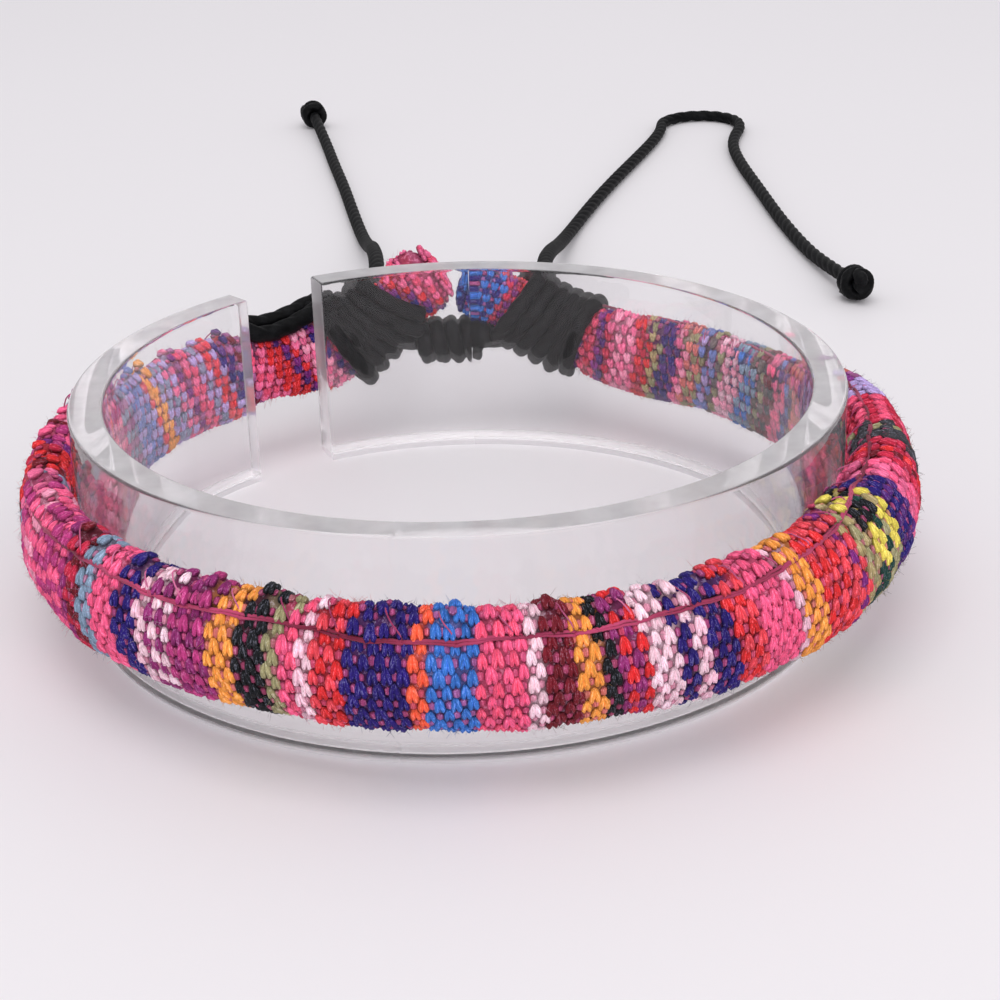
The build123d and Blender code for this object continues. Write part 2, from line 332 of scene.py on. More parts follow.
def makeClearFinish(name, look):
    # moulded clear plastic: flow ripples and light rubbing, and milkier on its rim, foot and cut ends
    finish = Finish(name, look["base"])
    place = finish.place()
    flow = finish.noise(finish.vectors("MULTIPLY", place, look["flowStretch"]), look["flowScale"], 2.0)
    rub = finish.noise(place, look["rubScale"], 3.0)
    tint = finish.blend(linear(*look["clear"]), linear(*look["cloudy"]), flow.between(*look["flowEdges"]))
    finish.feed("Base Color", tint)
    finish.roughen(rub.between(*look["rubEdges"]), *look["roughness"])
    finish.bump(flow * look["flowDepth"], look["bump"])
    drawn = finish.vectors("MULTIPLY", place, look["streakStretch"])
    streaks = finish.noise(drawn, look["streakScale"], 3.0).between(*look["streakEdges"])
    normal = finish.node("ShaderNodeNewGeometry").output("Normal")
    level = finish.parts(normal)[2]
    rim = level.between(*look["rimLevel"]) * (streaks * look["rimStreaks"] + look["rimMilk"])
    height = finish.parts(place)[2]
    foot = look["footMilk"] - height.between(*look["footFades"]) * look["footMilk"]
    # a cut end faces along the ring, so its normal turns about the ring's axis
    turned = finish.parts(finish.vectors("CROSS_PRODUCT", place, normal))[2]
    cutEnd = (abs(turned) / look["endReach"]).between(*look["endEdges"]) * look["endMilk"]
    milky = finish.node("ShaderNodeBsdfPrincipled", {}, {
        "Base Color": linear(*look["milky"]), "Roughness": look["milkyRoughness"],
        "Specular IOR Level": look["milkyGloss"],
    })
    finish.mixIn(milky, rim + foot + cutEnd)
    return finish.material


floorLook = {
    "base": {"Specular IOR Level": 0.25},
    "roughness": (0.5, 0.15),
    "size": 4.0,
    "pale": (240, 238, 241),
    "dull": (233, 231, 234),
    "cloudScale": 3.0,
    "grainScale": 600.0,
    "grainDepth": 0.02 * mm,
    "bump": 0.3,
}


def makeFloorFinish(name, look):
    # pale matt board with a faint grain
    finish = Finish(name, look["base"])
    place = finish.place()
    grain = finish.noise(place, look["grainScale"], 4.0)
    cloud = finish.noise(place, look["cloudScale"], 2.0)
    finish.feed("Base Color", finish.blend(linear(*look["dull"]), linear(*look["pale"]), cloud))
    finish.roughen(grain, *look["roughness"])
    finish.bump(grain * look["grainDepth"], look["bump"])
    return finish.material


# geometry trees for what repeats or follows a line

class GeometryTree(Bench):
    # a Geometry Nodes tree with named inputs, which ends in Realize Instances and Set Material
    def __init__(self, name, inputs):
        tree = bpy.data.node_groups.new(name, "GeometryNodeTree")
        super().__init__(tree)
        tree.interface.new_socket("Geometry", in_out="INPUT", socket_type="NodeSocketGeometry")
        tree.interface.new_socket("Geometry", in_out="OUTPUT", socket_type="NodeSocketGeometry")
        self.identifiers = {}
        for inputName, kind in {**inputs, "Material": "Material"}.items():
            socket = tree.interface.new_socket(inputName, in_out="INPUT", socket_type="NodeSocket" + kind)
            self.identifiers[inputName] = socket.identifier
        self.inlet = tree.nodes.new("NodeGroupInput")

    def given(self, name):
        return Wire(self, self.inlet.outputs[name])

    def named(self, name, kind):
        return self.node("GeometryNodeInputNamedAttribute", {"data_type": kind}, {"Name": name})

    def finishWith(self, geometry):
        realized = self.node("GeometryNodeRealizeInstances", {}, {0: geometry})
        smooth = self.node("GeometryNodeSetShadeSmooth", {}, {0: realized})
        dressed = self.node("GeometryNodeSetMaterial", {}, {0: smooth, "Material": self.given("Material")})
        outlet = self.tree.nodes.new("NodeGroupOutput")
        self.tree.links.new(dressed.socket, outlet.inputs[0])


def makeGrainTree():
    # plump grains on points, each along its point's yarnWay with its outer side towards normalWay:
    # one grain, or two plies side by side that spread towards the lower end
    tree = GeometryTree("grains", {
        "Segments": "Int", "Rings": "Int", "Taper": "Float", "Two Plies": "Bool", "Spread": "Float",
        "Splay": "Float", "Unevenness": "Float", "Seed": "Int",
    })
    plyWidth = 0.62     # against a whole float
    ball = tree.node("GeometryNodeMeshUVSphere", {}, {
        "Segments": tree.given("Segments"), "Rings": tree.given("Rings"), "Radius": 1.0,
    })
    place = tree.node("GeometryNodeInputPosition")
    marked = tree.node("GeometryNodeStoreNamedAttribute", {"data_type": "FLOAT_VECTOR", "domain": "POINT"}, {
        "Geometry": ball, "Name": "grainPlace", "Value": place,
    })
    fuller = 1.0 + tree.given("Taper") * tree.parts(place)[2]
    drop = tree.node("GeometryNodeSetPosition", {}, {
        "Geometry": marked, "Position": tree.vectors("MULTIPLY", place, tree.joined(fuller, fuller, 1.0)),
    })
    plies = tree.node("GeometryNodeJoinGeometry")
    for side in (-1.0, 1.0):
        ply = tree.node("GeometryNodeTransform", {}, {
            "Geometry": drop,
            "Translation": tree.joined(y=tree.given("Spread") * side),
            "Rotation": tree.joined(x=tree.given("Splay") * -side),
            "Scale": (1.0, plyWidth, 1.0),
        })
        tree.link(ply, plies, 0)
    chosen = tree.node("GeometryNodeSwitch", {"input_type": "GEOMETRY"}, {
        "Switch": tree.given("Two Plies"), "False": drop, "True": plies,
    })
    turned = tree.node("FunctionNodeAxesToRotation", {"primary_axis": "Z", "secondary_axis": "X"}, {
        0: tree.named("yarnWay", "FLOAT_VECTOR"), 1: tree.named("normalWay", "FLOAT_VECTOR"),
    })
    unevenness = tree.given("Unevenness")
    change = tree.node("FunctionNodeRandomValue", {"data_type": "FLOAT"}, {
        "Min": 1.0 - unevenness, "Max": 1.0 + unevenness, "Seed": tree.given("Seed"),
    })
    size = tree.node("ShaderNodeVectorMath", {"operation": "SCALE"}, {
        0: tree.named("grainSize", "FLOAT_VECTOR"), "Scale": change,
    })
    grains = tree.node("GeometryNodeInstanceOnPoints", {}, {
        "Points": tree.given("Geometry"), "Instance": chosen, "Rotation": turned, "Scale": size,
    })
    tree.finishWith(grains)
    return tree


def makeCordTree():
    # a round cord of twisted plies along every line of the mesh
    tree = GeometryTree("twisted_cord", {
        "Radius": "Float", "Step": "Float", "Sides": "Int", "Plies": "Int", "Ply Depth": "Float",
        "Twist Length": "Float",
    })
    line = tree.node("GeometryNodeMeshToCurve", {}, {0: tree.given("Geometry")})
    even = tree.node("GeometryNodeResampleCurve", {"mode": "LENGTH"}, {
        "Curve": line, "Length": tree.given("Step"),
    })
    upright = tree.node("GeometryNodeSetCurveNormal", {"mode": "MINIMUM_TWIST"}, {"Curve": even})
    along = tree.node("GeometryNodeSplineParameter").output("Length")
    tilted = tree.node("GeometryNodeSetCurveTilt", {}, {
        "Curve": upright, "Tilt": along / tree.given("Twist Length") * math.tau,
    })
    ring = tree.node("GeometryNodeCurvePrimitiveCircle", {"mode": "RADIUS"}, {
        "Resolution": tree.given("Sides"), "Radius": tree.given("Radius"),
    })
    turn = tree.node("GeometryNodeInputIndex") / tree.given("Sides") * math.pi
    lobe = 1.0 - tree.given("Ply Depth") * (1.0 - abs((turn * tree.given("Plies")).cosine()))
    place = tree.node("GeometryNodeInputPosition")
    lobed = tree.node("GeometryNodeSetPosition", {}, {
        "Geometry": ring, "Position": tree.vectors("MULTIPLY", place, tree.joined(lobe, lobe, lobe)),
    })
    tube = tree.node("GeometryNodeCurveToMesh", {}, {
        "Curve": tilted, "Profile Curve": lobed, "Fill Caps": True,
    })
    tree.finishWith(tube)
    return tree


def applyTree(piece, tree, values):
    # the tree's result as a plain mesh, with no modifier left
    modifier = piece.modifiers.new(tree.tree.name, "NODES")
    modifier.node_group = tree.tree
    for name, value in values.items():
        modifier[tree.identifiers[name]] = value
    graph = bpy.context.evaluated_depsgraph_get()
    result = bpy.data.meshes.new_from_object(
        piece.evaluated_get(graph), preserve_all_data_layers=True, depsgraph=graph
    )
    piece.modifiers.clear()
    piece.data = result
    for name in ("normalWay", "yarnWay", "grainSize"):
        if name in result.attributes:
            result.attributes.remove(result.attributes[name])
    return piece


def addPiece(name, mesh):
    piece = bpy.data.objects.new(name, mesh)
    bpy.context.scene.collection.objects.link(piece)
    return piece


def addLines(name, lines):
    # a mesh of open lines, each a list of points in metres
    mesh = bpy.data.meshes.new(name)
    points = []
    edges = []
    for line in lines:
        first = len(points)
        points.extend(line)
        edges.extend((first + index, first + index + 1) for index in range(len(line) - 1))
    mesh.from_pydata(points, edges, [])
    return addPiece(name, mesh)


def addSheet(name, rows, material):
    # a closed tube of faces over rows of points, capped at both ends
    count = len(rows[0])
    points = [point for row in rows for point in row]
    faces = []
    for row in range(len(rows) - 1):
        for step in range(count):
            after = (step + 1) % count
            faces.append((row * count + step, row * count + after,
                          (row + 1) * count + after, (row + 1) * count + step))
    faces.append(tuple(reversed(range(count))))
    faces.append(tuple((len(rows) - 1) * count + step for step in range(count)))
    mesh = bpy.data.meshes.new(name)
    mesh.from_pydata(points, [], faces)
    mesh.polygons.foreach_set("use_smooth", [True] * len(faces))
    mesh.materials.append(material)
    return addPiece(name, mesh)


def dress(piece, node):
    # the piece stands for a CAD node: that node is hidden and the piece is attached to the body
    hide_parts(node)
    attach(piece, body)


# the photograph's camera

cameraPlace = {
    "lens": 71.22,
    "sensor": 36.0,
    "distance": 0.17174,
    "elevation": 23.98,
    "roll": -1.65,
    "lookAt": Vector((0.00324, 0.0, 0.0069)),
    "nearest": 0.005,
}


def placeCamera(place):
    elevation = math.radians(place["elevation"])
    roll = math.radians(place["roll"])
    forward = Vector((0, math.cos(elevation), -math.sin(elevation)))
    level = Vector((1, 0, 0))
    upright = Vector((0, math.sin(elevation), math.cos(elevation)))
    right = math.cos(roll) * level + math.sin(roll) * upright
    up = math.cos(roll) * upright - math.sin(roll) * level
    data = bpy.data.cameras.new("camera")
    data.sensor_fit = "HORIZONTAL"
    data.sensor_width = place["sensor"]
    data.lens = place["lens"]
    data.clip_start = place["nearest"]
    camera = bpy.data.objects.new("camera", data)
    turned = Matrix((right, up, -forward)).transposed().to_4x4()
    camera.matrix_world = Matrix.Translation(place["lookAt"] - forward * place["distance"]) @ turned
    bpy.context.scene.collection.objects.link(camera)
    bpy.context.scene.camera = camera


placeCamera(cameraPlace)
print("camera placed")


# tie cords, in millimetres

cordTree = makeCordTree()
waxedCord = makeCordFinish("waxed_cord", cordLook)
cordForm = {
    "diameter": 1.75,
    "step": 0.32,
    "sides": 18,
    "plies": 3,
    "plyDepth": 0.16,
    "twistLength": 6.4,
}
tieCords = {
    "right_tie_cord": {
        "length": 0.233,
        "points": [
            (10.4, 39.3, 11.4), (8.6, 47.6, 11.7), (9.0, 56.8, 10.9), (9.9, 66.6, 8.9), (10.8, 78.0, 5.9),
            (11.8, 89.5, 2.9), (13.6, 101.0, 1.0), (17.2, 114.5, 0.9), (21.2, 127.5, 0.9), (25.4, 140.0, 0.9),
            (28.9, 150.6, 0.9), (30.9, 158.2, 0.9), (31.4, 163.6, 0.9), (34.9, 167.2, 0.9),
            (39.9, 167.6, 0.9), (43.6, 164.2, 0.9), (43.9, 159.0, 0.9), (42.0, 152.8, 0.9),
            (40.9, 145.2, 0.9), (41.0, 134.5, 0.9), (41.8, 121.0, 0.9), (42.5, 107.0, 0.9),
            (43.6, 94.5, 0.9), (44.8, 84.4, 1.2), (46.6, 74.2, 2.1),
        ],
    },
    "left_tie_cord": {
        "length": 0.132,
        "points": [
            (-10.1, 39.4, 12.4), (-9.3, 48.0, 12.3), (-9.9, 57.6, 11.6), (-10.8, 67.5, 9.5),
            (-11.6, 78.5, 6.5), (-12.7, 89.5, 3.3), (-14.2, 101.0, 1.1), (-16.3, 114.5, 0.9),
            (-18.4, 128.5, 0.9), (-20.8, 142.5, 0.9), (-23.0, 156.5, 0.9), (-25.6, 169.0, 2.1),
        ],
    },
}
endKnotForm = {
    "turns": 3,
    "lastTurn": 0.65,
    "radius": 1.28,
    "pitch": 1.12,
    "cordDiameter": 1.65,
    "dive": 0.42,           # how far along the knot its last turn goes in
    "diveShares": (0.75, 0.35),     # where it passes between the turns and the middle
    "tail": 0.9,
}


def drawRoute(name, points):
    # the points of a smooth line, read from a spline with those control points
    curve = bpy.data.curves.new(name, "CURVE")
    curve.dimensions = "3D"
    curve.resolution_u = 16
    spline = curve.splines.new("NURBS")
    spline.points.add(len(points) - 1)
    for control, point in zip(spline.points, points):
        control.co = (*(Vector(point) * mm), 1.0)
    spline.order_u = 3
    spline.use_endpoint_u = True
    route = addPiece(name, curve)
    graph = bpy.context.evaluated_depsgraph_get()
    line = bpy.data.meshes.new_from_object(route.evaluated_get(graph))
    places = [vertex.co.copy() for vertex in line.vertices]
    bpy.data.objects.remove(route)
    return places


def windCord(name, lines, form, **changes):
    # twisted cord along the lines
    given = {**form, **changes}
    return applyTree(addLines(name, lines), cordTree, {
        "Radius": given["diameter"] / 2 * mm,
        "Step": given["step"] * mm,
        "Sides": given["sides"],
        "Plies": given["plies"],
        "Ply Depth": given["plyDepth"],
        "Twist Length": given["twistLength"] * mm,
        "Material": given.get("material", waxedCord),
    })


def coil(middle, axis, radius, pitch, turns, steps=28):
    # points of a helix about an axis, evenly either side of its middle
    axis = axis.normalized()
    side = axis.orthogonal().normalized()
    other = axis.cross(side)
    points = []
    for step in range(round(turns * steps) + 1):
        turn = step / steps
        angle = math.tau * turn
        offset = side * math.cos(angle) + other * math.sin(angle)
        points.append(middle + offset * radius + axis * pitch * (turn - turns / 2))
    return points


def makeEndKnot(name, route, form):
    # turns round the cord's end, with its cut tail showing
    along = (route[-1] - route[-6]).normalized()
    length = (form["pitch"] * (form["turns"] - 1) + cordForm["diameter"]) * mm
    middle = route[-1] + along * length / 2
    count = form["turns"] - 1 + form["lastTurn"]
    turns = coil(middle, along, form["radius"] * mm, form["pitch"] * mm, count)
    dive = along * length * form["dive"]
    inward = [middle.lerp(turns[-1], share) + dive for share in form["diveShares"]]
    tail = [route[-1] - along * 0.5 * mm, middle, route[-1] + along * (length + form["tail"] * mm)]
    return windCord(name, [turns + inward, tail], cordForm, diameter=form["cordDiameter"])


for cordName, facts in tieCords.items():
    route = drawRoute(cordName + "_route", facts["points"])
    cord = windCord(cordName + "_strands", [route], cordForm)
    knotName = cordName.replace("tie_cord", "end_knot")
    knot = makeEndKnot(knotName + "_turns", route, endKnotForm)
    dress(cord, cordName)
    dress(knot, knotName)
print("tie cords laid")


# display ring, in millimetres and degrees

ringForm = {
    "outerRadius": 32.5,
    "wall": 2.9,
    "height": 18.6,
    "gapStart": 117.0,
    "gapEnd": 132.5,
    "footRound": 0.9,
    "edgeRound": 0.3,
    "footEdge": 0.12,
    "roundSteps": 6,
    "besideRound": 0.25,    # an extra point beside each rounding keeps the flat sides flat
    "degreesApart": 1.5,
    "seamAngles": (261.7, 448.4),
    "seamWidth": 0.22,
    "seamHeight": 0.05,
    "seamProfile": ((-1.0, 0.0), (-0.5, 0.7), (0.0, 1.0), (0.5, 0.7), (1.0, 0.0)),
}


def wallOutline(form, inset):
    # the wall's section as (radius, height), clockwise, every side moved in by inset
    smallestRound = 0.02
    low, high = inset, form["height"] - inset
    inner, outer = form["outerRadius"] - form["wall"] + inset, form["outerRadius"] - inset
    corners = [
        (outer, low, form["footRound"], -90), (outer, high, form["edgeRound"], 0),
        (inner, high, form["edgeRound"], 90), (inner, low, form["footEdge"], 180),
    ]
    points = []
    for radius, height, rounding, start in corners:
        rounding = max(rounding - inset, smallestRound)
        away = 1 if radius == outer else -1
        up = 1 if height == high else -1
        middle = (radius - away * rounding, height - up * rounding)
        for step in range(form["roundSteps"] + 1):
            angle = math.radians(start + 90 * step / form["roundSteps"])
            points.append((middle[0] + rounding * math.cos(angle), middle[1] + rounding * math.sin(angle)))
        nextStart = math.radians(start + 90)
        beside = form["besideRound"]
        points.append((points[-1][0] - beside * math.sin(nextStart),
                       points[-1][1] + beside * math.cos(nextStart)))
    return points[::-1]


def ringStations(form):
    # each station's angle, the section's inset there and how far a mould seam stands out
    lastAngle = form["gapStart"] + 360
    perMillimetre = math.degrees(1 / form["outerRadius"])
    angles = {}
    for step in range(form["roundSteps"] + 1):
        turn = math.radians(90 * step / form["roundSteps"])
        away = form["edgeRound"] * (1 - math.cos(turn)) * perMillimetre
        inset = form["edgeRound"] * (1 - math.sin(turn))
        angles[form["gapEnd"] + away] = (inset, 0.0)
        angles[lastAngle - away] = (inset, 0.0)
    count = round((lastAngle - form["gapEnd"]) / form["degreesApart"])
    for step in range(1, count):
        angles[form["gapEnd"] + (lastAngle - form["gapEnd"]) * step / count] = (0.0, 0.0)
    for seam in form["seamAngles"]:
        for share, height in form["seamProfile"]:
            angles[seam + share * form["seamWidth"] / 2 * perMillimetre] = (0.0, height * form["seamHeight"])
    return sorted((angle, *values) for angle, values in angles.items())


def makeRing(form, material):
    rows = []
    middle = form["outerRadius"] - form["wall"] / 2
    for angle, inset, ridge in ringStations(form):
        turn = math.radians(angle)
        row = []
        for radius, height in wallOutline(form, inset):
            radius -= ridge if radius > middle else -ridge
            row.append((radius * math.cos(turn) * mm, radius * math.sin(turn) * mm, height * mm))
        rows.append(row)
    return addSheet("clear_ring", rows, material)


ring = makeRing(ringForm, makeClearFinish("clear_plastic", clearLook))
ring.visible_shadow = False     # clear plastic lets the light through to the table
dress(ring, "display_ring")
print("display ring made")


# the band's form, in millimetres and degrees round the ring

bandForm = {
    "ringRadius": 32.5,
    "ringHeight": 18.6,
    "thick": 5.6,
    "tall": 9.8,
    "innerShare": 0.44,
    "edgeRound": 0.9,
    "endRound": 1.7,        # how far each end of the band takes to close
    "endCurve": 2.6,
    "endLeast": 0.05,       # what stays open of the end's section, squared
    "endDegree": 0.62,      # length of one degree near the ends
    "degreesApart": 0.5,
    "stepsAround": 96,
    "stepsPerArc": 40,
}
# where the cloth's two edges meet: degrees up from the outermost line, at each angle
seamTurns = [
    (96, 62), (224, 67), (236, 62), (245, 64.5), (254, 64), (260, 57), (268, 57.5), (277, 62), (285, 60.5),
    (296, 64.5), (303, 63.5), (309, 68), (317, 72.5), (325, 85), (332, 99), (345, 106), (375, 100),
    (449, 80),
]
# angle, stand off, thickness, height and rise of the section's middle, as shares of the sizes above
bandSections = [
    (93.6, 0.34, 0.72, 0.72, 0.905), (95.5, 0.34, 0.72, 0.72, 0.860), (98.5, 0.34, 0.78, 0.70, 0.800),
    (101.0, 0.38, 0.68, 0.58, 0.735), (104.4, 0.38, 0.68, 0.56, 0.656), (107.8, 0.37, 0.70, 0.58, 0.588),
    (112.0, 0.22, 0.80, 0.74, 0.530), (117.0, 0.10, 0.86, 0.74, 0.503), (124.0, 0.06, 0.86, 0.68, 0.495),
    (132.0, 0.06, 0.86, 0.80, 0.515), (150.0, 0.05, 0.82, 0.86, 0.525), (170.0, 0.05, 0.78, 0.90, 0.515),
    (190.0, 0.05, 0.78, 0.94, 0.510), (210.0, 0.05, 0.84, 0.96, 0.525), (226.0, 0.05, 0.90, 0.94, 0.538),
    (243.0, 0.05, 0.95, 0.93, 0.542), (258.0, 0.05, 0.99, 0.94, 0.534), (270.0, 0.05, 1.00, 0.95, 0.521),
    (285.0, 0.05, 1.00, 0.94, 0.510), (300.0, 0.05, 1.02, 0.97, 0.510), (315.0, 0.06, 1.03, 1.00, 0.520),
    (330.0, 0.08, 1.03, 1.00, 0.523), (345.0, 0.10, 1.00, 0.98, 0.538), (360.0, 0.10, 0.94, 0.95, 0.555),
    (375.0, 0.08, 0.90, 0.90, 0.550), (388.0, 0.06, 0.86, 0.82, 0.520), (405.0, 0.06, 0.86, 0.82, 0.512),
    (420.0, 0.08, 0.86, 0.82, 0.508), (426.5, 0.20, 0.82, 0.74, 0.518), (431.5, 0.36, 0.70, 0.56, 0.548),
    (435.2, 0.38, 0.68, 0.54, 0.594), (439.0, 0.38, 0.68, 0.54, 0.656), (442.5, 0.35, 0.74, 0.56, 0.712),
    (446.0, 0.34, 0.72, 0.54, 0.752), (449.0, 0.34, 0.66, 0.50, 0.775), (450.4, 0.34, 0.66, 0.50, 0.788),
]


def bandRow(angle):
    # the table's columns at any angle, smooth from row to row
    last = len(bandSections) - 1
    index = max(i for i in range(last) if i == 0 or bandSections[i][0] <= angle)
    before, start = bandSections[max(index - 1, 0)], bandSections[index]
    end, after = bandSections[index + 1], bandSections[min(index + 2, last)]
    span = end[0] - start[0]
    share = (angle - start[0]) / span
    startWeight = 2 * share**3 - 3 * share**2 + 1
    startSlopeWeight = share**3 - 2 * share**2 + share
    endSlopeWeight = share**3 - share**2
    values = []
    for column in range(1, 5):
        startSlope = (end[column] - before[column]) / (end[0] - before[0]) * span
        endSlope = (after[column] - start[column]) / (after[0] - start[0]) * span
        values.append(startWeight * start[column] + (1 - startWeight) * end[column]
                      + startSlopeWeight * startSlope + endSlopeWeight * endSlope)
    return values


def bandMiddle(angle):
    standOff, thick, _, rise = bandRow(angle)
    radius = bandForm["ringRadius"] + (standOff + bandForm["innerShare"] * thick) * bandForm["thick"]
    turn = math.radians(angle)
    return Vector((radius * math.cos(turn), radius * math.sin(turn), rise * bandForm["ringHeight"]))


def bandAxes(angle):
    # the section's outward and upward directions, and the way along the band
    along = (bandMiddle(angle + 1.0) - bandMiddle(angle - 1.0)).normalized()
    turn = math.radians(angle)
    outward = Vector((math.cos(turn), math.sin(turn), 0))
    outward = (outward - along * outward.dot(along)).normalized()
    return outward, outward.cross(along), along


def halfSizes(angle):
    _, thick, tall, _ = bandRow(angle)
    inner = bandForm["innerShare"] * thick * bandForm["thick"]
    return inner, thick * bandForm["thick"] - inner, tall * bandForm["tall"] / 2


def sectionOutline(angle, grow=0.0):
    # even points round the section's oval of four arcs, from the seam down the outer side and on
    innerHalf, outerHalf, halfTall = halfSizes(angle)
    edgeRadius = bandForm["edgeRound"] * innerHalf
    edgeHeight = halfTall - edgeRadius
    reach = {}
    slope = {}
    for side, half in (("inner", innerHalf), ("outer", outerHalf)):
        reach[side] = (half**2 + edgeHeight**2 - edgeRadius**2) / (2 * (half - edgeRadius))
        slope[side] = math.atan2(edgeHeight, reach[side] - half)
    outerMiddle, innerMiddle = outerHalf - reach["outer"], reach["inner"] - innerHalf
    arcs = [
        (outerMiddle, 0.0, reach["outer"], 0.0, slope["outer"]),
        (0.0, edgeHeight, edgeRadius, slope["outer"], math.pi - slope["inner"]),
        (innerMiddle, 0.0, reach["inner"], math.pi - slope["inner"], math.pi + slope["inner"]),
        (0.0, -edgeHeight, edgeRadius, math.pi + slope["inner"], math.tau - slope["outer"]),
        (outerMiddle, 0.0, reach["outer"], math.tau - slope["outer"], math.tau),
    ]
    across = []
    upward = []
    for middleAcross, middleUp, radius, first, last in arcs:
        turns = np.linspace(first, last, bandForm["stepsPerArc"])
        across.append(middleAcross + (radius + grow) * np.cos(turns))
        upward.append(middleUp + (radius + grow) * np.sin(turns))
    across = np.concatenate(across)
    upward = np.concatenate(upward)
    walked = np.concatenate([[0.0], np.cumsum(np.hypot(np.diff(across), np.diff(upward)))])
    seamTurn = math.radians(np.interp(angle, *zip(*seamTurns)))
    seamIndex = int(np.argmax(np.arctan2(upward, across) >= seamTurn))
    perimeter = walked[-1]
    count = bandForm["stepsAround"]
    wanted = (walked[seamIndex] - perimeter * np.arange(count) / count) % perimeter
    return np.interp(wanted, walked, across), np.interp(wanted, walked, upward), perimeter


def buildForm():
    # the whole surface as a grid of points: one row to each angle, one column to each share round it
    first, last = bandSections[0][0], bandSections[-1][0]
    count = round((last - first) / bandForm["degreesApart"]) + 1
    angles = np.linspace(first, last, count)
    places = np.zeros((count, bandForm["stepsAround"], 3))
    perimeters = np.zeros(count)
    for index, angle in enumerate(angles):
        outward, upward, _ = bandAxes(angle)
        across, up, perimeters[index] = sectionOutline(angle)
        fromEnd = min(index, count - 1 - index) * bandForm["degreesApart"] * bandForm["endDegree"]
        nearEnd = fromEnd / bandForm["endRound"]
        closing = max(bandForm["endLeast"], 1 - max(0.0, 1 - nearEnd) ** bandForm["endCurve"]) ** 0.5
        across, up = across * closing, up * closing
        places[index] = np.array(bandMiddle(angle)) + np.outer(across, outward) + np.outer(up, upward)
    return angles, places, perimeters


formAngles, formPlaces, formPerimeters = buildForm()


def gridPlace(angles, shares):
    # places on the even form, between its grid's points
    rows = np.clip((angles - formAngles[0]) / (formAngles[1] - formAngles[0]), 0, len(formAngles) - 1.001)
    columns = (shares % 1.0) * bandForm["stepsAround"]
    row, column = rows.astype(int), columns.astype(int)
    rowShare, columnShare = (rows - row)[:, None], (columns - column)[:, None]
    column = column % bandForm["stepsAround"]
    nextColumn = (column + 1) % bandForm["stepsAround"]
    upper = formPlaces[row, column] * (1 - columnShare) + formPlaces[row, nextColumn] * columnShare
    lower = formPlaces[row + 1, column] * (1 - columnShare) + formPlaces[row + 1, nextColumn] * columnShare
    return upper * (1 - rowShare) + lower * rowShare


seamForm = {
    "stitchLength": 6.4,    # degrees from one whip stitch to the next
    "first": 112.0,
    "last": 427.0,
    "unevenStitch": (0.85, 1.15),
    "grooveDepth": 0.6,
    "grooveWidth": 0.36,
    "grooveMiddle": 0.18,
    "hemHeight": 0.64,
    "hemMiddle": -1.7,      # negative is above the seam
    "hemWidth": 1.2,
    "hemPull": 0.95,        # how far a whip stitch flattens the hem
    "pullSlant": 0.16,      # degrees for each millimetre down the cloth
    "pullDrift": (0.7, 0.37),   # how many degrees it wanders, and how fast
    "pullStart": 0.9,
    "clothEnds": (110.0, 428.0, 8.0),   # where the swelling starts and ends, and fades over
}


def swell(angles, shares):
    # how far the stuffed cloth stands out from its even form, in millimetres
    away = ((shares + 0.5) % 1.0 - 0.5) * np.interp(angles, formAngles, formPerimeters)
    first, last, fade = seamForm["clothEnds"]
    fromEnds = np.clip(np.minimum(angles - first, last - angles) / fade, 0.0, 1.0)
    groove = -seamForm["grooveDepth"] * np.exp(
        -((away - seamForm["grooveMiddle"]) / seamForm["grooveWidth"]) ** 2)
    # the stitches pull the hem down where they cross it, at a slant and not quite evenly
    drift, driftRate = seamForm["pullDrift"]
    slanted = (angles - seamForm["first"] + seamForm["pullSlant"] * (away - seamForm["hemMiddle"])
               + drift * np.sin(angles * driftRate))
    pulled = 0.5 + 0.5 * np.cos(math.tau * slanted / seamForm["stitchLength"] + seamForm["pullStart"])
    # waves that never line up, for lumps of no fixed size
    lumps = (1.0 + 0.35 * np.sin(angles * 0.61 + 1.0) + 0.3 * np.sin(angles * 1.73)
             + 0.35 * np.sin(angles * 2.6 + 3.0 * np.sin(angles * 0.23)))
    hem = seamForm["hemHeight"] * lumps * (1 - seamForm["hemPull"] * pulled**2) * np.exp(
        -((away - seamForm["hemMiddle"]) / seamForm["hemWidth"]) ** 2)
    # and lower ones all over the cloth
    uneven = 0.09 * np.sin(angles * 0.31 + shares * 9.0) + 0.06 * np.sin(angles * 0.83 - shares * 13.0 + 2.0)
    return fromEnds * (groove + hem + uneven)


def unit(vectors):
    return vectors / np.linalg.norm(vectors, axis=1)[:, None]


def onBand(angles, shares, lift=0.0):
    # places on the cloth, with its outward direction and the way down the yarns
    angles, shares = np.asarray(angles, float), np.asarray(shares, float)
    here = gridPlace(angles, shares)
    shareStep, angleStep = 0.012, 0.5
    down = gridPlace(angles, shares + shareStep) - gridPlace(angles, shares - shareStep)
    along = gridPlace(angles + angleStep, shares) - gridPlace(angles - angleStep, shares)
    down = unit(down)
    normal = unit(np.cross(down, unit(along)))
    here = here + normal * (swell(angles, shares) + lift)[:, None]
    return here, normal, down


print("band form worked out:", round(float(formPerimeters.max()), 2), "mm round at most")


# stripes and weave

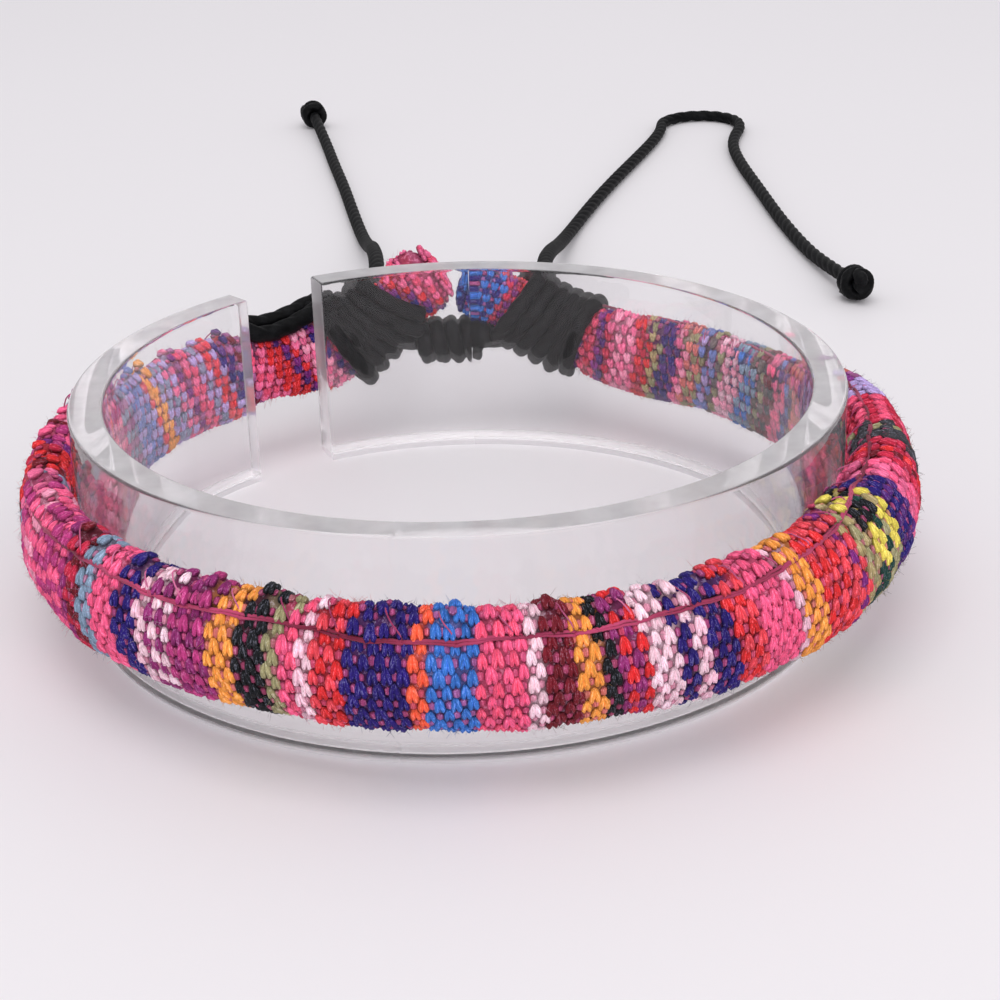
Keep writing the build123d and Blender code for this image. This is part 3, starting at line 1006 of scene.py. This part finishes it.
dye = {
    "navy": (36, 17, 114), "deepPurple": (84, 34, 120), "purple": (128, 38, 128), "plum": (146, 42, 112),
    "magenta": (190, 58, 128), "hotPink": (255, 97, 144), "pink": (244, 112, 158),
    "lightPink": (250, 160, 190), "pinkWhite": (244, 196, 214), "white": (253, 213, 227),
    "rose": (240, 84, 122), "crimson": (206, 38, 72),
    "red": (226, 42, 46), "coral": (238, 72, 86), "orangeRed": (255, 98, 64), "orange": (255, 165, 72),
    "yellow": (234, 216, 92), "olive": (158, 152, 112), "khaki": (182, 164, 116), "black": (10, 14, 20),
    "darkGreen": (18, 62, 54), "charcoal": (62, 62, 68), "taupe": (112, 96, 92), "maroon": (120, 17, 35),
    "blue": (56, 118, 206), "softBlue": (116, 132, 200), "lightBlue": (136, 160, 186),
    "greyBlue": (140, 146, 176), "lilac": (186, 164, 220), "mauve": (170, 96, 150), "salmon": (222, 120, 112),
    "weft": (196, 78, 124),
}
# the angle that each stripe reaches to on the band's outermost line, and the dyes of its even and odd yarns
stripes = [
    (96.2, "pink", "rose"), (97.5, "rose", "red"), (98.9, "purple", "navy"), (103.0, "red", "rose"),
    (107.0, "crimson", "red"), (111.3, "red", "crimson"), (113.3, "purple", "navy"),
    (116.5, "lightPink", "pink"), (118.0, "red", "red"), (120.0, "deepPurple", "purple"),
    (123.0, "red", "red"), (127.5, "rose", "pink"), (130.0, "mauve", "maroon"),
    (132.5, "deepPurple", "navy"), (134.2, "lilac", "pink"), (136.0, "red", "coral"),
    (138.8, "lilac", "greyBlue"), (141.5, "pink", "rose"), (143.8, "mauve", "purple"),
    (146.5, "pink", "lilac"), (149.8, "lilac", "greyBlue"), (152.3, "orange", "orange"),
    (153.5, "coral", "coral"), (157.0, "softBlue", "lilac"), (160.5, "lilac", "softBlue"),
    (165.0, "mauve", "greyBlue"), (169.0, "magenta", "pink"), (173.5, "hotPink", "lightPink"),
    (176.5, "maroon", "maroon"), (180.5, "hotPink", "magenta"), (184.0, "purple", "magenta"),
    (189.0, "red", "crimson"), (192.5, "maroon", "red"), (196.2, "greyBlue", "pink"),
    (201.0, "pink", "magenta"), (206.0, "lightPink", "hotPink"), (211.5, "magenta", "hotPink"),
    (215.0, "hotPink", "magenta"), (217.4, "plum", "magenta"), (220.2, "maroon", "crimson"),
    (223.5, "lightBlue", "lightBlue"), (227.8, "hotPink", "hotPink"), (231.2, "navy", "navy"),
    (232.2, "pinkWhite", "pinkWhite"), (236.4, "white", "plum"), (241.5, "plum", "magenta"),
    (245.3, "orange", "orange"), (248.8, "black", "black"), (250.5, "olive", "olive"),
    (252.9, "rose", "hotPink"), (254.2, "white", "pinkWhite"), (258.0, "red", "coral"),
    (264.7, "navy", "navy"), (266.5, "orangeRed", "orangeRed"), (271.6, "blue", "blue"),
    (277.0, "hotPink", "rose"), (278.8, "white", "white"), (282.3, "maroon", "maroon"),
    (285.6, "orange", "orange"), (287.2, "black", "black"), (291.0, "plum", "red"),
    (294.4, "white", "white"), (296.1, "navy", "navy"), (297.9, "white", "pinkWhite"),
    (301.2, "navy", "navy"), (304.4, "red", "coral"), (310.0, "hotPink", "hotPink"),
    (310.9, "pinkWhite", "pinkWhite"), (314.2, "orange", "orange"), (320.1, "coral", "red"),
    (321.2, "purple", "coral"), (322.9, "orangeRed", "coral"), (325.4, "khaki", "olive"),
    (327.4, "yellow", "yellow"), (329.6, "darkGreen", "olive"), (332.3, "yellow", "yellow"),
    (337.5, "deepPurple", "navy"), (341.5, "hotPink", "pink"), (343.2, "crimson", "rose"),
    (344.5, "maroon", "crimson"), (346.5, "crimson", "red"), (347.4, "maroon", "crimson"),
    (348.5, "crimson", "maroon"), (353.0, "charcoal", "charcoal"), (354.4, "olive", "charcoal"),
    (363.8, "crimson", "rose"), (370.0, "lilac", "lilac"), (374.5, "purple", "mauve"),
    (378.9, "pink", "salmon"), (381.2, "salmon", "taupe"), (383.5, "deepPurple", "softBlue"),
    (387.4, "hotPink", "pink"), (390.0, "charcoal", "maroon"), (392.6, "taupe", "olive"),
    (397.0, "blue", "lightBlue"), (401.0, "lightPink", "pinkWhite"), (403.3, "taupe", "olive"),
    (405.9, "lilac", "softBlue"), (409.2, "olive", "salmon"), (411.5, "lightPink", "pink"),
    (414.7, "deepPurple", "navy"), (416.8, "olive", "khaki"), (419.0, "red", "crimson"),
    (423.2, "lightPink", "pink"), (424.7, "crimson", "crimson"), (426.0, "purple", "deepPurple"),
    (428.4, "crimson", "rose"), (430.2, "deepPurple", "purple"), (433.0, "red", "red"),
    (442.5, "red", "rose"), (445.2, "purple", "crimson"), (449.5, "blue", "navy"),
]
# coarse dashes that fill only part of the way round: angles and shares from and to, and their dye
patches = [
    (325.2, 328.4, 0.0, 0.065, "black"), (328.4, 331.2, 0.0, 0.065, "darkGreen"),
    (325.4, 329.6, 0.065, 0.105, "black"), (329.6, 332.3, 0.065, 0.105, "khaki"),
    (325.4, 327.4, 0.25, 0.5, "darkGreen"), (329.6, 332.3, 0.27, 0.5, "olive"),
    (325.6, 329.6, 0.93, 1.0, "yellow"), (329.6, 332.4, 0.95, 1.0, "black"),
    (325.6, 332.4, 0.86, 0.93, "black"),
]
# at each angle, the degrees by which a yarn leaves its stripe's angle: at the seam, under the band, on top of
# it and just above the seam
yarnShift = {
    "angle": (96, 120, 150, 175, 215, 235, 250, 262, 275, 285, 297, 305, 320, 335, 350, 385, 400, 415, 428,
              449),
    "seam": (0, 0, 0, 0, 0, 0, 0, 0, 0, -0.8, -1.1, -1.2, -1.7, -1.0, 0, 0, 0, 0, 0, 0),
    "bottom": (-4, -4.5, -4, -1, 0, 0, 0, 0, 0.2, 1.3, 1.8, 2.2, 3.0, 2.0, 2.0, 5.0, 3.5, 2.5, 0, 2),
    "top": (4, 4.5, 4, 1, 0, 2.2, 3.0, 1.5, 0, -1.1, -3.0, -2.2, -1.8, -1.0, -1.0, -5.0, -3.5, -2.5, 0, -2),
    "hem": (1, 1, 1, 0, 0, 0.5, 0.6, 0.3, 0, -1.0, -1.6, -1.6, -2.0, -1.2, 0, 0, 0, 0, 0, 0),
}
shiftShares = {"seam": 0.0, "outermost": 0.14, "bottom": 0.36, "innermost": 0.6, "top": 0.86, "hem": 1.0}
weaveForm = {
    "yarns": 402,
    "picks": 22,
    "endMargin": 0.3,       # degrees
    "segments": 5,
    "rings": 4,
    "dotRings": 3,
    "floatLength": 0.68,    # half a float, in picks
    "floatWidth": 0.4,      # half a float, in millimetres
    "floatThickness": 0.36,
    "floatLift": -0.21,
    "floatTaper": 0.22,
    "floatSlant": 0.1,
    "plySpread": 0.4,       # how far each of a float's two plies is from its middle, in half widths
    "plySplay": 0.34,
    "dotSize": (0.22, 0.32, 0.37),
    "dotLift": -0.22,
    "unevenness": 0.14,
    "jitter": 0.1,
    "tone": (0.86, 1.12),
    "weftTone": (0.8, 1.1),
    # the dots are the weft's dye tinted by the yarn's; the two shares add to less than one, so the dots are
    # also darkened as painted shade between the floats, most in dark stripes
    "weftTintAndShade": (0.62, 0.3),        # how much the dots show of the weft's dye and of the yarn's
    "endRings": ((0.08, 3), (0.32, 9), (0.55, 15), (0.76, 20)),     # how far out, and how many cut yarns
    "endGrain": (0.3, 0.34, 0.46),
    "endJitter": 0.2,
    "endSplay": 0.7,
    "seed": 4,
}
bodyForm = {
    "rows": 400,
    "columns": 44,
    "lift": -0.28,
    # only small shares of the dyes, so the body is painted dark as the shade between the floats
    "tint": (0.08, 0.34),           # how much it shows of the weft's dye and of the yarn's
}


def shiftedAngles(angles, shares):
    # where a yarn that belongs to each angle lies at each share of the way round
    stations = {name: np.interp(angles, yarnShift["angle"], values)
                for name, values in yarnShift.items() if name != "angle"}
    stations["outermost"] = np.zeros_like(angles)
    stations["innermost"] = np.zeros_like(angles)
    shift = np.zeros_like(angles)
    names = list(shiftShares)
    for before, after in zip(names, names[1:]):
        low, high = shiftShares[before], shiftShares[after]
        part = (shares - low) / (high - low)
        value = stations[before] * (1 - part) + stations[after] * part
        shift = np.where((shares >= low) & (shares <= high), value, shift)
    inside = 0.1    # degrees
    return np.clip(angles + shift, formAngles[0] + inside, formAngles[-1] - inside)


stripeEnds = np.array([row[0] for row in stripes])


def stripeColour(angle, odd, share=-1.0):
    # the dye of an even or odd yarn; without a share, the patches are left out
    for first, last, high, low, dyeName in patches:
        if first < angle <= last and high <= share < low:
            return np.array(linear(*dye[dyeName]))
    row = stripes[min(int(np.searchsorted(stripeEnds, angle)), len(stripes) - 1)]
    return np.array(linear(*dye[row[2] if odd else row[1]]))


def setPoints(mesh, name, values):
    # an attribute of every point: three numbers are a vector and four a colour
    isColour = values.shape[-1] == 4
    layer = mesh.attributes.new(name, "FLOAT_COLOR" if isColour else "FLOAT_VECTOR", "POINT")
    layer.data.foreach_set("color" if isColour else "vector", values.astype(np.float32).ravel())


def addSeeds(name, places, attributes):
    # loose points in millimetres, each with its attributes, for a tree to put grains on
    mesh = bpy.data.meshes.new(name)
    mesh.from_pydata((places * mm).tolist(), [], [])
    for attributeName, values in attributes.items():
        setPoints(mesh, attributeName, values)
    return addPiece(name, mesh)


def cutEnds(form, chance):
    # cut yarns that close each end: their places, the ways out of the cloth and along them, and their angles
    found = []
    for angle, side in ((formAngles[0], -1.0), (formAngles[-1], 1.0)):
        outward, upward, along = (np.array(axis) for axis in bandAxes(angle))
        across, up, _ = sectionOutline(angle)
        middle = np.array(bandMiddle(angle))
        for reach, count in form["endRings"]:
            for step in range(count):
                drift = chance.uniform(-form["endJitter"], form["endJitter"])
                index = int((step + drift) / count * len(across)) % len(across)
                radial = outward * across[index] + upward * up[index]
                normal = along * side + radial / np.linalg.norm(radial) * reach * form["endSplay"]
                depth = bandForm["endRound"] * (1 - (1 - reach**2) ** (1 / bandForm["endCurve"]))
                found.append((middle + radial * reach - along * side * depth, normal, radial, angle))
    places, normals, ways, angles = (np.array(column, float) for column in zip(*found))
    return places, unit(normals), unit(ways), angles


def weave(form, grainTree, yarnFinish):
    # floats and the weft's dots between them, in brick order over the whole band
    chance = np.random.default_rng(form["seed"])
    first, last = formAngles[0] + form["endMargin"], formAngles[-1] - form["endMargin"]
    pitch = (last - first) / form["yarns"]
    yarns, picks = np.meshgrid(np.arange(form["yarns"]), np.arange(form["picks"]), indexing="ij")
    yarns, picks = yarns.ravel(), picks.ravel()
    own = first + (yarns + 0.5) * pitch
    jitter = form["jitter"]
    shares = (picks + 0.5 + chance.uniform(-jitter, jitter, len(picks))) / form["picks"]
    angles = shiftedAngles(own + chance.uniform(-jitter, jitter, len(picks)) * pitch * 2, shares)
    above = (yarns + picks) % 2 == 0
    length = np.interp(angles, formAngles, formPerimeters) / form["picks"]
    tone = chance.uniform(*form["tone"], len(picks))
    colours = np.array([stripeColour(*facts) for facts in zip(own, yarns % 2, shares)])
    colours[:, :3] *= tone[:, None]
    weft = np.array(linear(*dye["weft"]))
    ofWeft, ofYarn = form["weftTintAndShade"]
    weftTone = chance.uniform(*form["weftTone"], len(picks))
    # dot colour: the yarn's tint plus the weft's dye, darkened as painted shade between the floats
    shadedWeftColours = colours * ofYarn + weft * ofWeft * weftTone[:, None]
    places, normals, downs = onBand(angles, shares)
    downs = downs + np.cross(normals, downs) * form["floatSlant"]
    endPlaces, endNormals, endWays, endAngles = cutEnds(form, chance)
    endColours = np.array([stripeColour(angle, chance.integers(2)) for angle in endAngles])
    floatSize = np.array([form["floatThickness"], form["floatWidth"], form["floatLength"]])
    dotSize = np.array(form["dotSize"])
    front = np.sin(np.radians(own)) < 0     # the floats are two pieces, to keep each one light
    made = []
    for name, chosen, lift, tints, size, plies in (
        ("front_floats", above & front, form["floatLift"], colours, floatSize, True),
        ("back_floats", above & ~front, form["floatLift"], colours, floatSize, True),
        ("band_weft", ~above, form["dotLift"], shadedWeftColours, dotSize, False),
    ):
        seeds = places[chosen] + normals[chosen] * lift
        sizes = np.tile(size, (int(chosen.sum()), 1))
        sizes[:, 2] *= length[chosen]
        seedNormals, seedWays, tint = normals[chosen], downs[chosen], tints[chosen]
        if name == "back_floats":
            seeds = np.concatenate([seeds, endPlaces])
            seedNormals = np.concatenate([seedNormals, endNormals])
            seedWays = np.concatenate([seedWays, endWays])
            sizes = np.concatenate([sizes, np.tile(form["endGrain"], (len(endPlaces), 1))])
            tint = np.concatenate([tint, endColours])
        tint = np.clip(tint, 0.0, 1.0)
        tint[:, 3] = 1.0
        piece = addSeeds(name, seeds, {
            "normalWay": seedNormals, "yarnWay": seedWays, "grainSize": sizes * mm, "yarnColour": tint,
        })
        made.append(applyTree(piece, grainTree, {
            "Segments": form["segments"], "Rings": form["rings"] if plies else form["dotRings"],
            "Taper": form["floatTaper"] if plies else 0.0,
            "Two Plies": plies, "Spread": form["plySpread"], "Splay": form["plySplay"],
            "Unevenness": form["unevenness"], "Seed": form["seed"], "Material": yarnFinish,
        }))
    return made


def makeBandBody(form, yarnFinish):
    # the stuffed body under the floats, closed at both ends, its colour painted dark as the shade in the gaps
    # between them
    count = form["columns"]
    angles = np.linspace(formAngles[0], formAngles[-1], form["rows"])
    shares = np.arange(count) / count
    ofWeft, ofYarn = form["tint"]
    weft = np.array(linear(*dye["weft"]))
    tints = np.zeros((len(angles), count, 4))
    rows = []
    for index, angle in enumerate(angles):
        places, _, _ = onBand(np.full(count, angle), shares, form["lift"])
        rows.append([tuple(place * mm) for place in places])
        # painted shade: a dim mix of the stripe's and the weft's dyes
        tints[index] = stripeColour(angle, False) * ofYarn + weft * ofWeft
    tints[:, :, 3] = 1.0
    piece = addSheet("band_body", rows, yarnFinish)
    setPoints(piece.data, "grainPlace", np.tile([1.0, 0.0, 0.0], (len(piece.data.vertices), 1)))
    setPoints(piece.data, "yarnColour", tints)
    return piece


fuzzForm = {
    "hairs": 10800,
    "segments": 3,
    "rings": 4,
    "unevenness": 0.1,
    "endMargin": 1.0,       # degrees
    "thickness": 0.011,
    "length": (0.16, 0.55),
    "lean": (0.5, 2.2),     # sideways, against outwards
    "paler": (1.1, 0.12),   # the dye times the first, plus the second
    "root": 0.7,            # how much of its half length a fibre's middle stands off the cloth
    "seed": 9,
}


def growFuzz(form, grainTree, yarnFinish):
    # loose fibres that stand off the cloth
    chance = np.random.default_rng(form["seed"])
    count = form["hairs"]
    own = chance.uniform(formAngles[0] + form["endMargin"], formAngles[-1] - form["endMargin"], count)
    shares = chance.uniform(0, 1, count)
    places, normals, downs = onBand(shiftedAngles(own, shares), shares)
    sideways = np.cross(normals, downs)
    turn = chance.uniform(0, math.tau, count)[:, None]
    lean = chance.uniform(*form["lean"], count)[:, None]
    ways = unit(normals + (downs * np.cos(turn) + sideways * np.sin(turn)) * lean)
    lengths = chance.uniform(*form["length"], count)
    colours = np.array([stripeColour(angle, False) for angle in own])
    gain, added = form["paler"]
    colours[:, :3] = np.clip(colours[:, :3] * gain + added, 0, 1)
    seeds = places + ways * (lengths[:, None] * form["root"])
    sizes = np.stack([np.full(count, form["thickness"])] * 2 + [lengths], axis=1)
    piece = addSeeds("band_fuzz", seeds, {
        "normalWay": sideways, "yarnWay": ways, "grainSize": sizes * mm, "yarnColour": colours,
    })
    return applyTree(piece, grainTree, {
        "Segments": form["segments"], "Rings": form["rings"], "Taper": 0.0, "Two Plies": False,
        "Unevenness": form["unevenness"], "Seed": form["seed"], "Material": yarnFinish,
    })


grainTree = makeGrainTree()
yarnFinish = makeYarnFinish("woven_yarn", yarnLook)
bandBody = makeBandBody(bodyForm, yarnFinish)
weavePieces = [*weave(weaveForm, grainTree, yarnFinish), growFuzz(fuzzForm, grainTree, yarnFinish)]
for piece in [bandBody, *weavePieces]:
    dress(piece, "woven_band")
print("band woven:", [(piece.name, len(piece.data.polygons)) for piece in weavePieces])


# seam thread and the loops over the hem

threadForm = {
    "diameter": 0.29,
    "step": 0.2,
    "sides": 6,
    "plies": 2,
    "plyDepth": 0.25,
    "twistLength": 0.9,
    "strands": (0.003, 0.009),      # shares round the band
    "strandDrift": 0.006,
    "lift": 0.43,                   # between stitches, where its ends dive by the next value
    "dive": 0.68,
    "steepness": 7,
    "points": 15,
    "early": 1.1,                   # degrees by which a stitch starts before its place
    "longer": 1.9,                  # degrees by which it is longer than the way to the next
    "wave": (0.002, 8),             # how high and how fast it wavers
    "seed": 11,
}
loopForm = {
    "diameter": 0.14,
    "reach": (0.012, -0.073),       # shares round the band, from below the seam over the hem
    "lean": (1.2, 2.4),
    "lift": 0.2,
    "dive": 0.34,
    "steepness": 6,
    "points": 12,
    "early": 0.2,
    "wave": (0.25, 6),
}


def archLift(form, part):
    # a thread's height over the cloth: even along its length, with both ends diving in
    rise = np.minimum(1.0, form["steepness"] * np.minimum(part, 1 - part))
    return form["dive"] * rise + form["lift"] - form["dive"]


def sewSeam(seam, thread, loop, threadFinish, loopFinish):
    # two strands of thread along the groove, and a loop over the hem at each stitch
    chance = random.Random(thread["seed"])
    strands = []
    loops = []
    threadWave, threadRate = thread["wave"]
    loopWave, loopRate = loop["wave"]
    start, end = loop["reach"]
    angle = seam["first"]
    while angle < seam["last"]:
        nextAngle = angle + seam["stitchLength"] * chance.uniform(*seam["unevenStitch"])
        for strand in thread["strands"]:
            drift = thread["strandDrift"] * chance.uniform(-1.0, 1.0)
            part = np.linspace(0, 1, thread["points"])
            angles = angle - thread["early"] + (nextAngle - angle + thread["longer"]) * part
            shares = strand + drift * (1 - 2 * part) + threadWave * np.sin(part * threadRate + angle)
            places, _, _ = onBand(angles, shares, archLift(thread, part))
            strands.append([Vector(place) * mm for place in places])
        part = np.linspace(0, 1, loop["points"])
        lean = chance.uniform(*loop["lean"])
        angles = angle - loop["early"] - lean * part + loopWave * np.sin(part * loopRate)
        shares = (start + (end - start) * part) % 1.0
        places, _, _ = onBand(angles, shares, archLift(loop, part))
        loops.append([Vector(place) * mm for place in places])
        angle = nextAngle
    return [
        windCord("seam_thread", strands, thread, material=threadFinish),
        windCord("whip_stitches", loops, thread, material=loopFinish, diameter=loop["diameter"]),
    ]


seamThread = makeThreadFinish("seam_thread", (122, 16, 54), (190, 64, 108), threadLook)
loopThread = makeThreadFinish("whip_thread", (160, 44, 96), (216, 110, 156), threadLook)
for piece in sewSeam(seamForm, threadForm, loopForm, seamThread, loopThread):
    dress(piece, "woven_band")
print("seam sewn")


# whippings, bight and sliding knot

windingForm = {
    "pitch": 1.6,
    "clearance": 0.2,
    "turns": 5.7,
    "leftAngle": 106.7,
    "leftLean": 1.4,        # degrees by which the turns' tops lie further round than their middles
    "rightAngle": 435.7,
    "rightLean": -1.3,
    "pointsPerTurn": 44,
    "startShare": 0.55,     # where round the band the first turn starts
    "tuck": 0.7,            # how deep the two ends dive under the turns
    "tuckTurns": 0.12,
    "rootDepth": 2.4,
    "rootPast": 0.3,
}


def tieCordRoot(name, depth, past):
    # the tie cord's hidden start, from inside the whipping to just past where it comes out
    first, second = (Vector(point) for point in tieCords[name]["points"][:2])
    inward = (first - second).normalized()
    return [(first + inward * reach) * mm for reach in (depth, depth / 2, 0.0, -past)]


def windWhipping(name, middleAngle, lean, root, form):
    # cord wound side by side round the band, its ends tucked in
    twoDegrees = bandMiddle(middleAngle + 1.0) - bandMiddle(middleAngle - 1.0)
    pitch = form["pitch"] / twoDegrees.length * 2.0
    start = middleAngle - pitch * form["turns"] / 2
    count = round(form["turns"] * form["pointsPerTurn"])
    line = []
    for step in range(count + 1):
        turn = step / form["pointsPerTurn"]
        angle = start + pitch * turn
        fromEnd = min(step, count - step) / form["pointsPerTurn"]
        tucked = form["tuck"] * max(0.0, 1 - fromEnd / form["tuckTurns"])
        across, up, _ = sectionOutline(angle, form["clearance"] + cordForm["diameter"] / 2 - tucked)
        share = (turn + form["startShare"]) % 1.0 * bandForm["stepsAround"]
        low = int(share) % bandForm["stepsAround"]
        high = (low + 1) % bandForm["stepsAround"]
        part = share - int(share)
        outwards = across[low] * (1 - part) + across[high] * part
        upwards = up[low] * (1 - part) + up[high] * part
        leaned = angle + lean * upwards / halfSizes(angle)[2]
        outward, upward, _ = bandAxes(leaned)
        line.append((bandMiddle(leaned) + outward * outwards + upward * upwards) * mm)
    return windCord(name, [line, root], cordForm)


def overTopEdge(angle, turn, lift):
    # a point lifted off the band's rounded top edge, turned about that edge's middle away from the ring
    innerHalf, _, halfTall = halfSizes(angle)
    edgeRadius = bandForm["edgeRound"] * innerHalf
    reach = edgeRadius + lift
    outward, upward, _ = bandAxes(angle)
    turned = math.radians(turn)
    return (bandMiddle(angle) + outward * reach * math.sin(turned)
            + upward * (halfTall - edgeRadius + reach * math.cos(turned)))


# angle, turn about the top edge, and lift beyond the cord's own clearance
bightRoute = [
    (108.6, 12.0, 0.5), (113.2, 11.0, 0.35), (118.6, 10.0, 0.1), (124.0, 9.0, 0.05), (128.4, 8.0, 0.1),
    (130.4, -14.0, 0.3), (128.4, -37.0, 0.1), (124.4, -32.0, 0.05), (119.0, -27.0, 0.1), (113.6, -21.0, 0.4),
    (108.6, -20.0, 0.5),
]
slidingKnotForm = {
    "turns": 4.4,
    "radius": 1.62,
    "reach": 3.0,           # how far its two cords run into the whippings
    "lift": 0.45,
    "spread": 0.7,
    "tilt": 0.45,
    "rise": 1.0,
    "aside": -2.0,          # how far its turns have slid along the cords
    "cordShares": (0.0, 0.4, 0.6, 1.0),
}


def makeBight(route):
    lift = cordForm["diameter"] / 2 + windingForm["clearance"]
    points = [tuple(overTopEdge(angle, turn, lift + extra)) for angle, turn, extra in route]
    return windCord("bight_strands", [drawRoute("bight_route", points)], cordForm)


def makeSlidingKnot(form):
    low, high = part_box("sliding_knot")
    low, high = Vector(low), Vector(high)
    middle = (low + high) / 2
    low.x -= form["reach"] * mm
    high.x += form["reach"] * mm
    knotMiddle = middle + Vector((form["aside"], 0, form["lift"])) * mm
    turns = coil(knotMiddle, Vector((1, 0, 0)), form["radius"] * mm, windingForm["pitch"] * mm, form["turns"])
    lines = [turns]
    for side in (-1, 1):
        offset = Vector((0, side * form["spread"], side * form["tilt"] + form["rise"])) * mm
        lines.append([Vector((low.x + (high.x - low.x) * share, middle.y, middle.z)) + offset
                      for share in form["cordShares"]])
    return windCord("sliding_knot_turns", lines, cordForm)


def makeWhipping(side, form):
    root = tieCordRoot(side + "_tie_cord", form["rootDepth"], form["rootPast"])
    return windWhipping(side + "_whipping_turns", form[side + "Angle"], form[side + "Lean"], root, form)


closure = {
    "left_whipping": makeWhipping("left", windingForm),
    "right_whipping": makeWhipping("right", windingForm),
    "left_cord_bight": makeBight(bightRoute),
    "sliding_knot": makeSlidingKnot(slidingKnotForm),
}
for node, piece in closure.items():
    dress(piece, node)
print("closure wound")


# floor and light

def addFloor(size, material):
    half = size / 2
    corners = [(-half, -half, 0), (half, -half, 0), (half, half, 0), (-half, half, 0)]
    mesh = bpy.data.meshes.new("floor")
    mesh.from_pydata(corners, [], [(0, 1, 2, 3)])
    mesh.materials.append(material)
    addPiece("floor", mesh)


lights = {
    "window": {"place": (-0.1, -0.22, 0.9), "size": 0.6, "power": 2.3, "tint": (1.0, 0.985, 0.975)},
    "fill": {"place": (0.25, -0.9, 0.5), "size": 1.0, "power": 4.4, "tint": (1.0, 0.98, 0.985)},
    "backdrop": {"place": (0.05, 1.0, 0.46), "size": 0.7, "power": 0.25, "tint": (1.0, 0.99, 0.99)},
}
room = {"tint": (240, 238, 241), "strength": 0.75}


def addLights(lights, room):
    # soft lamps that face the ring, in an evenly lit room
    for name, light in lights.items():
        data = bpy.data.lights.new(name, "AREA")
        data.size = light["size"]
        data.energy = light["power"]
        data.color = light["tint"]
        lamp = bpy.data.objects.new(name, data)
        lamp.location = light["place"]
        lamp.rotation_euler = (-Vector(light["place"])).to_track_quat("-Z", "Y").to_euler()
        bpy.context.scene.collection.objects.link(lamp)
    world = bpy.data.worlds.new("studio")
    world.use_nodes = True
    background = world.node_tree.nodes["Background"]
    background.inputs["Color"].default_value = linear(*room["tint"])
    background.inputs["Strength"].default_value = room["strength"]
    bpy.context.scene.world = world


addFloor(floorLook["size"], makeFloorFinish("pale_board", floorLook))
addLights(lights, room)
bpy.context.scene.view_settings.view_transform = "Standard"
print("floor and lights set")
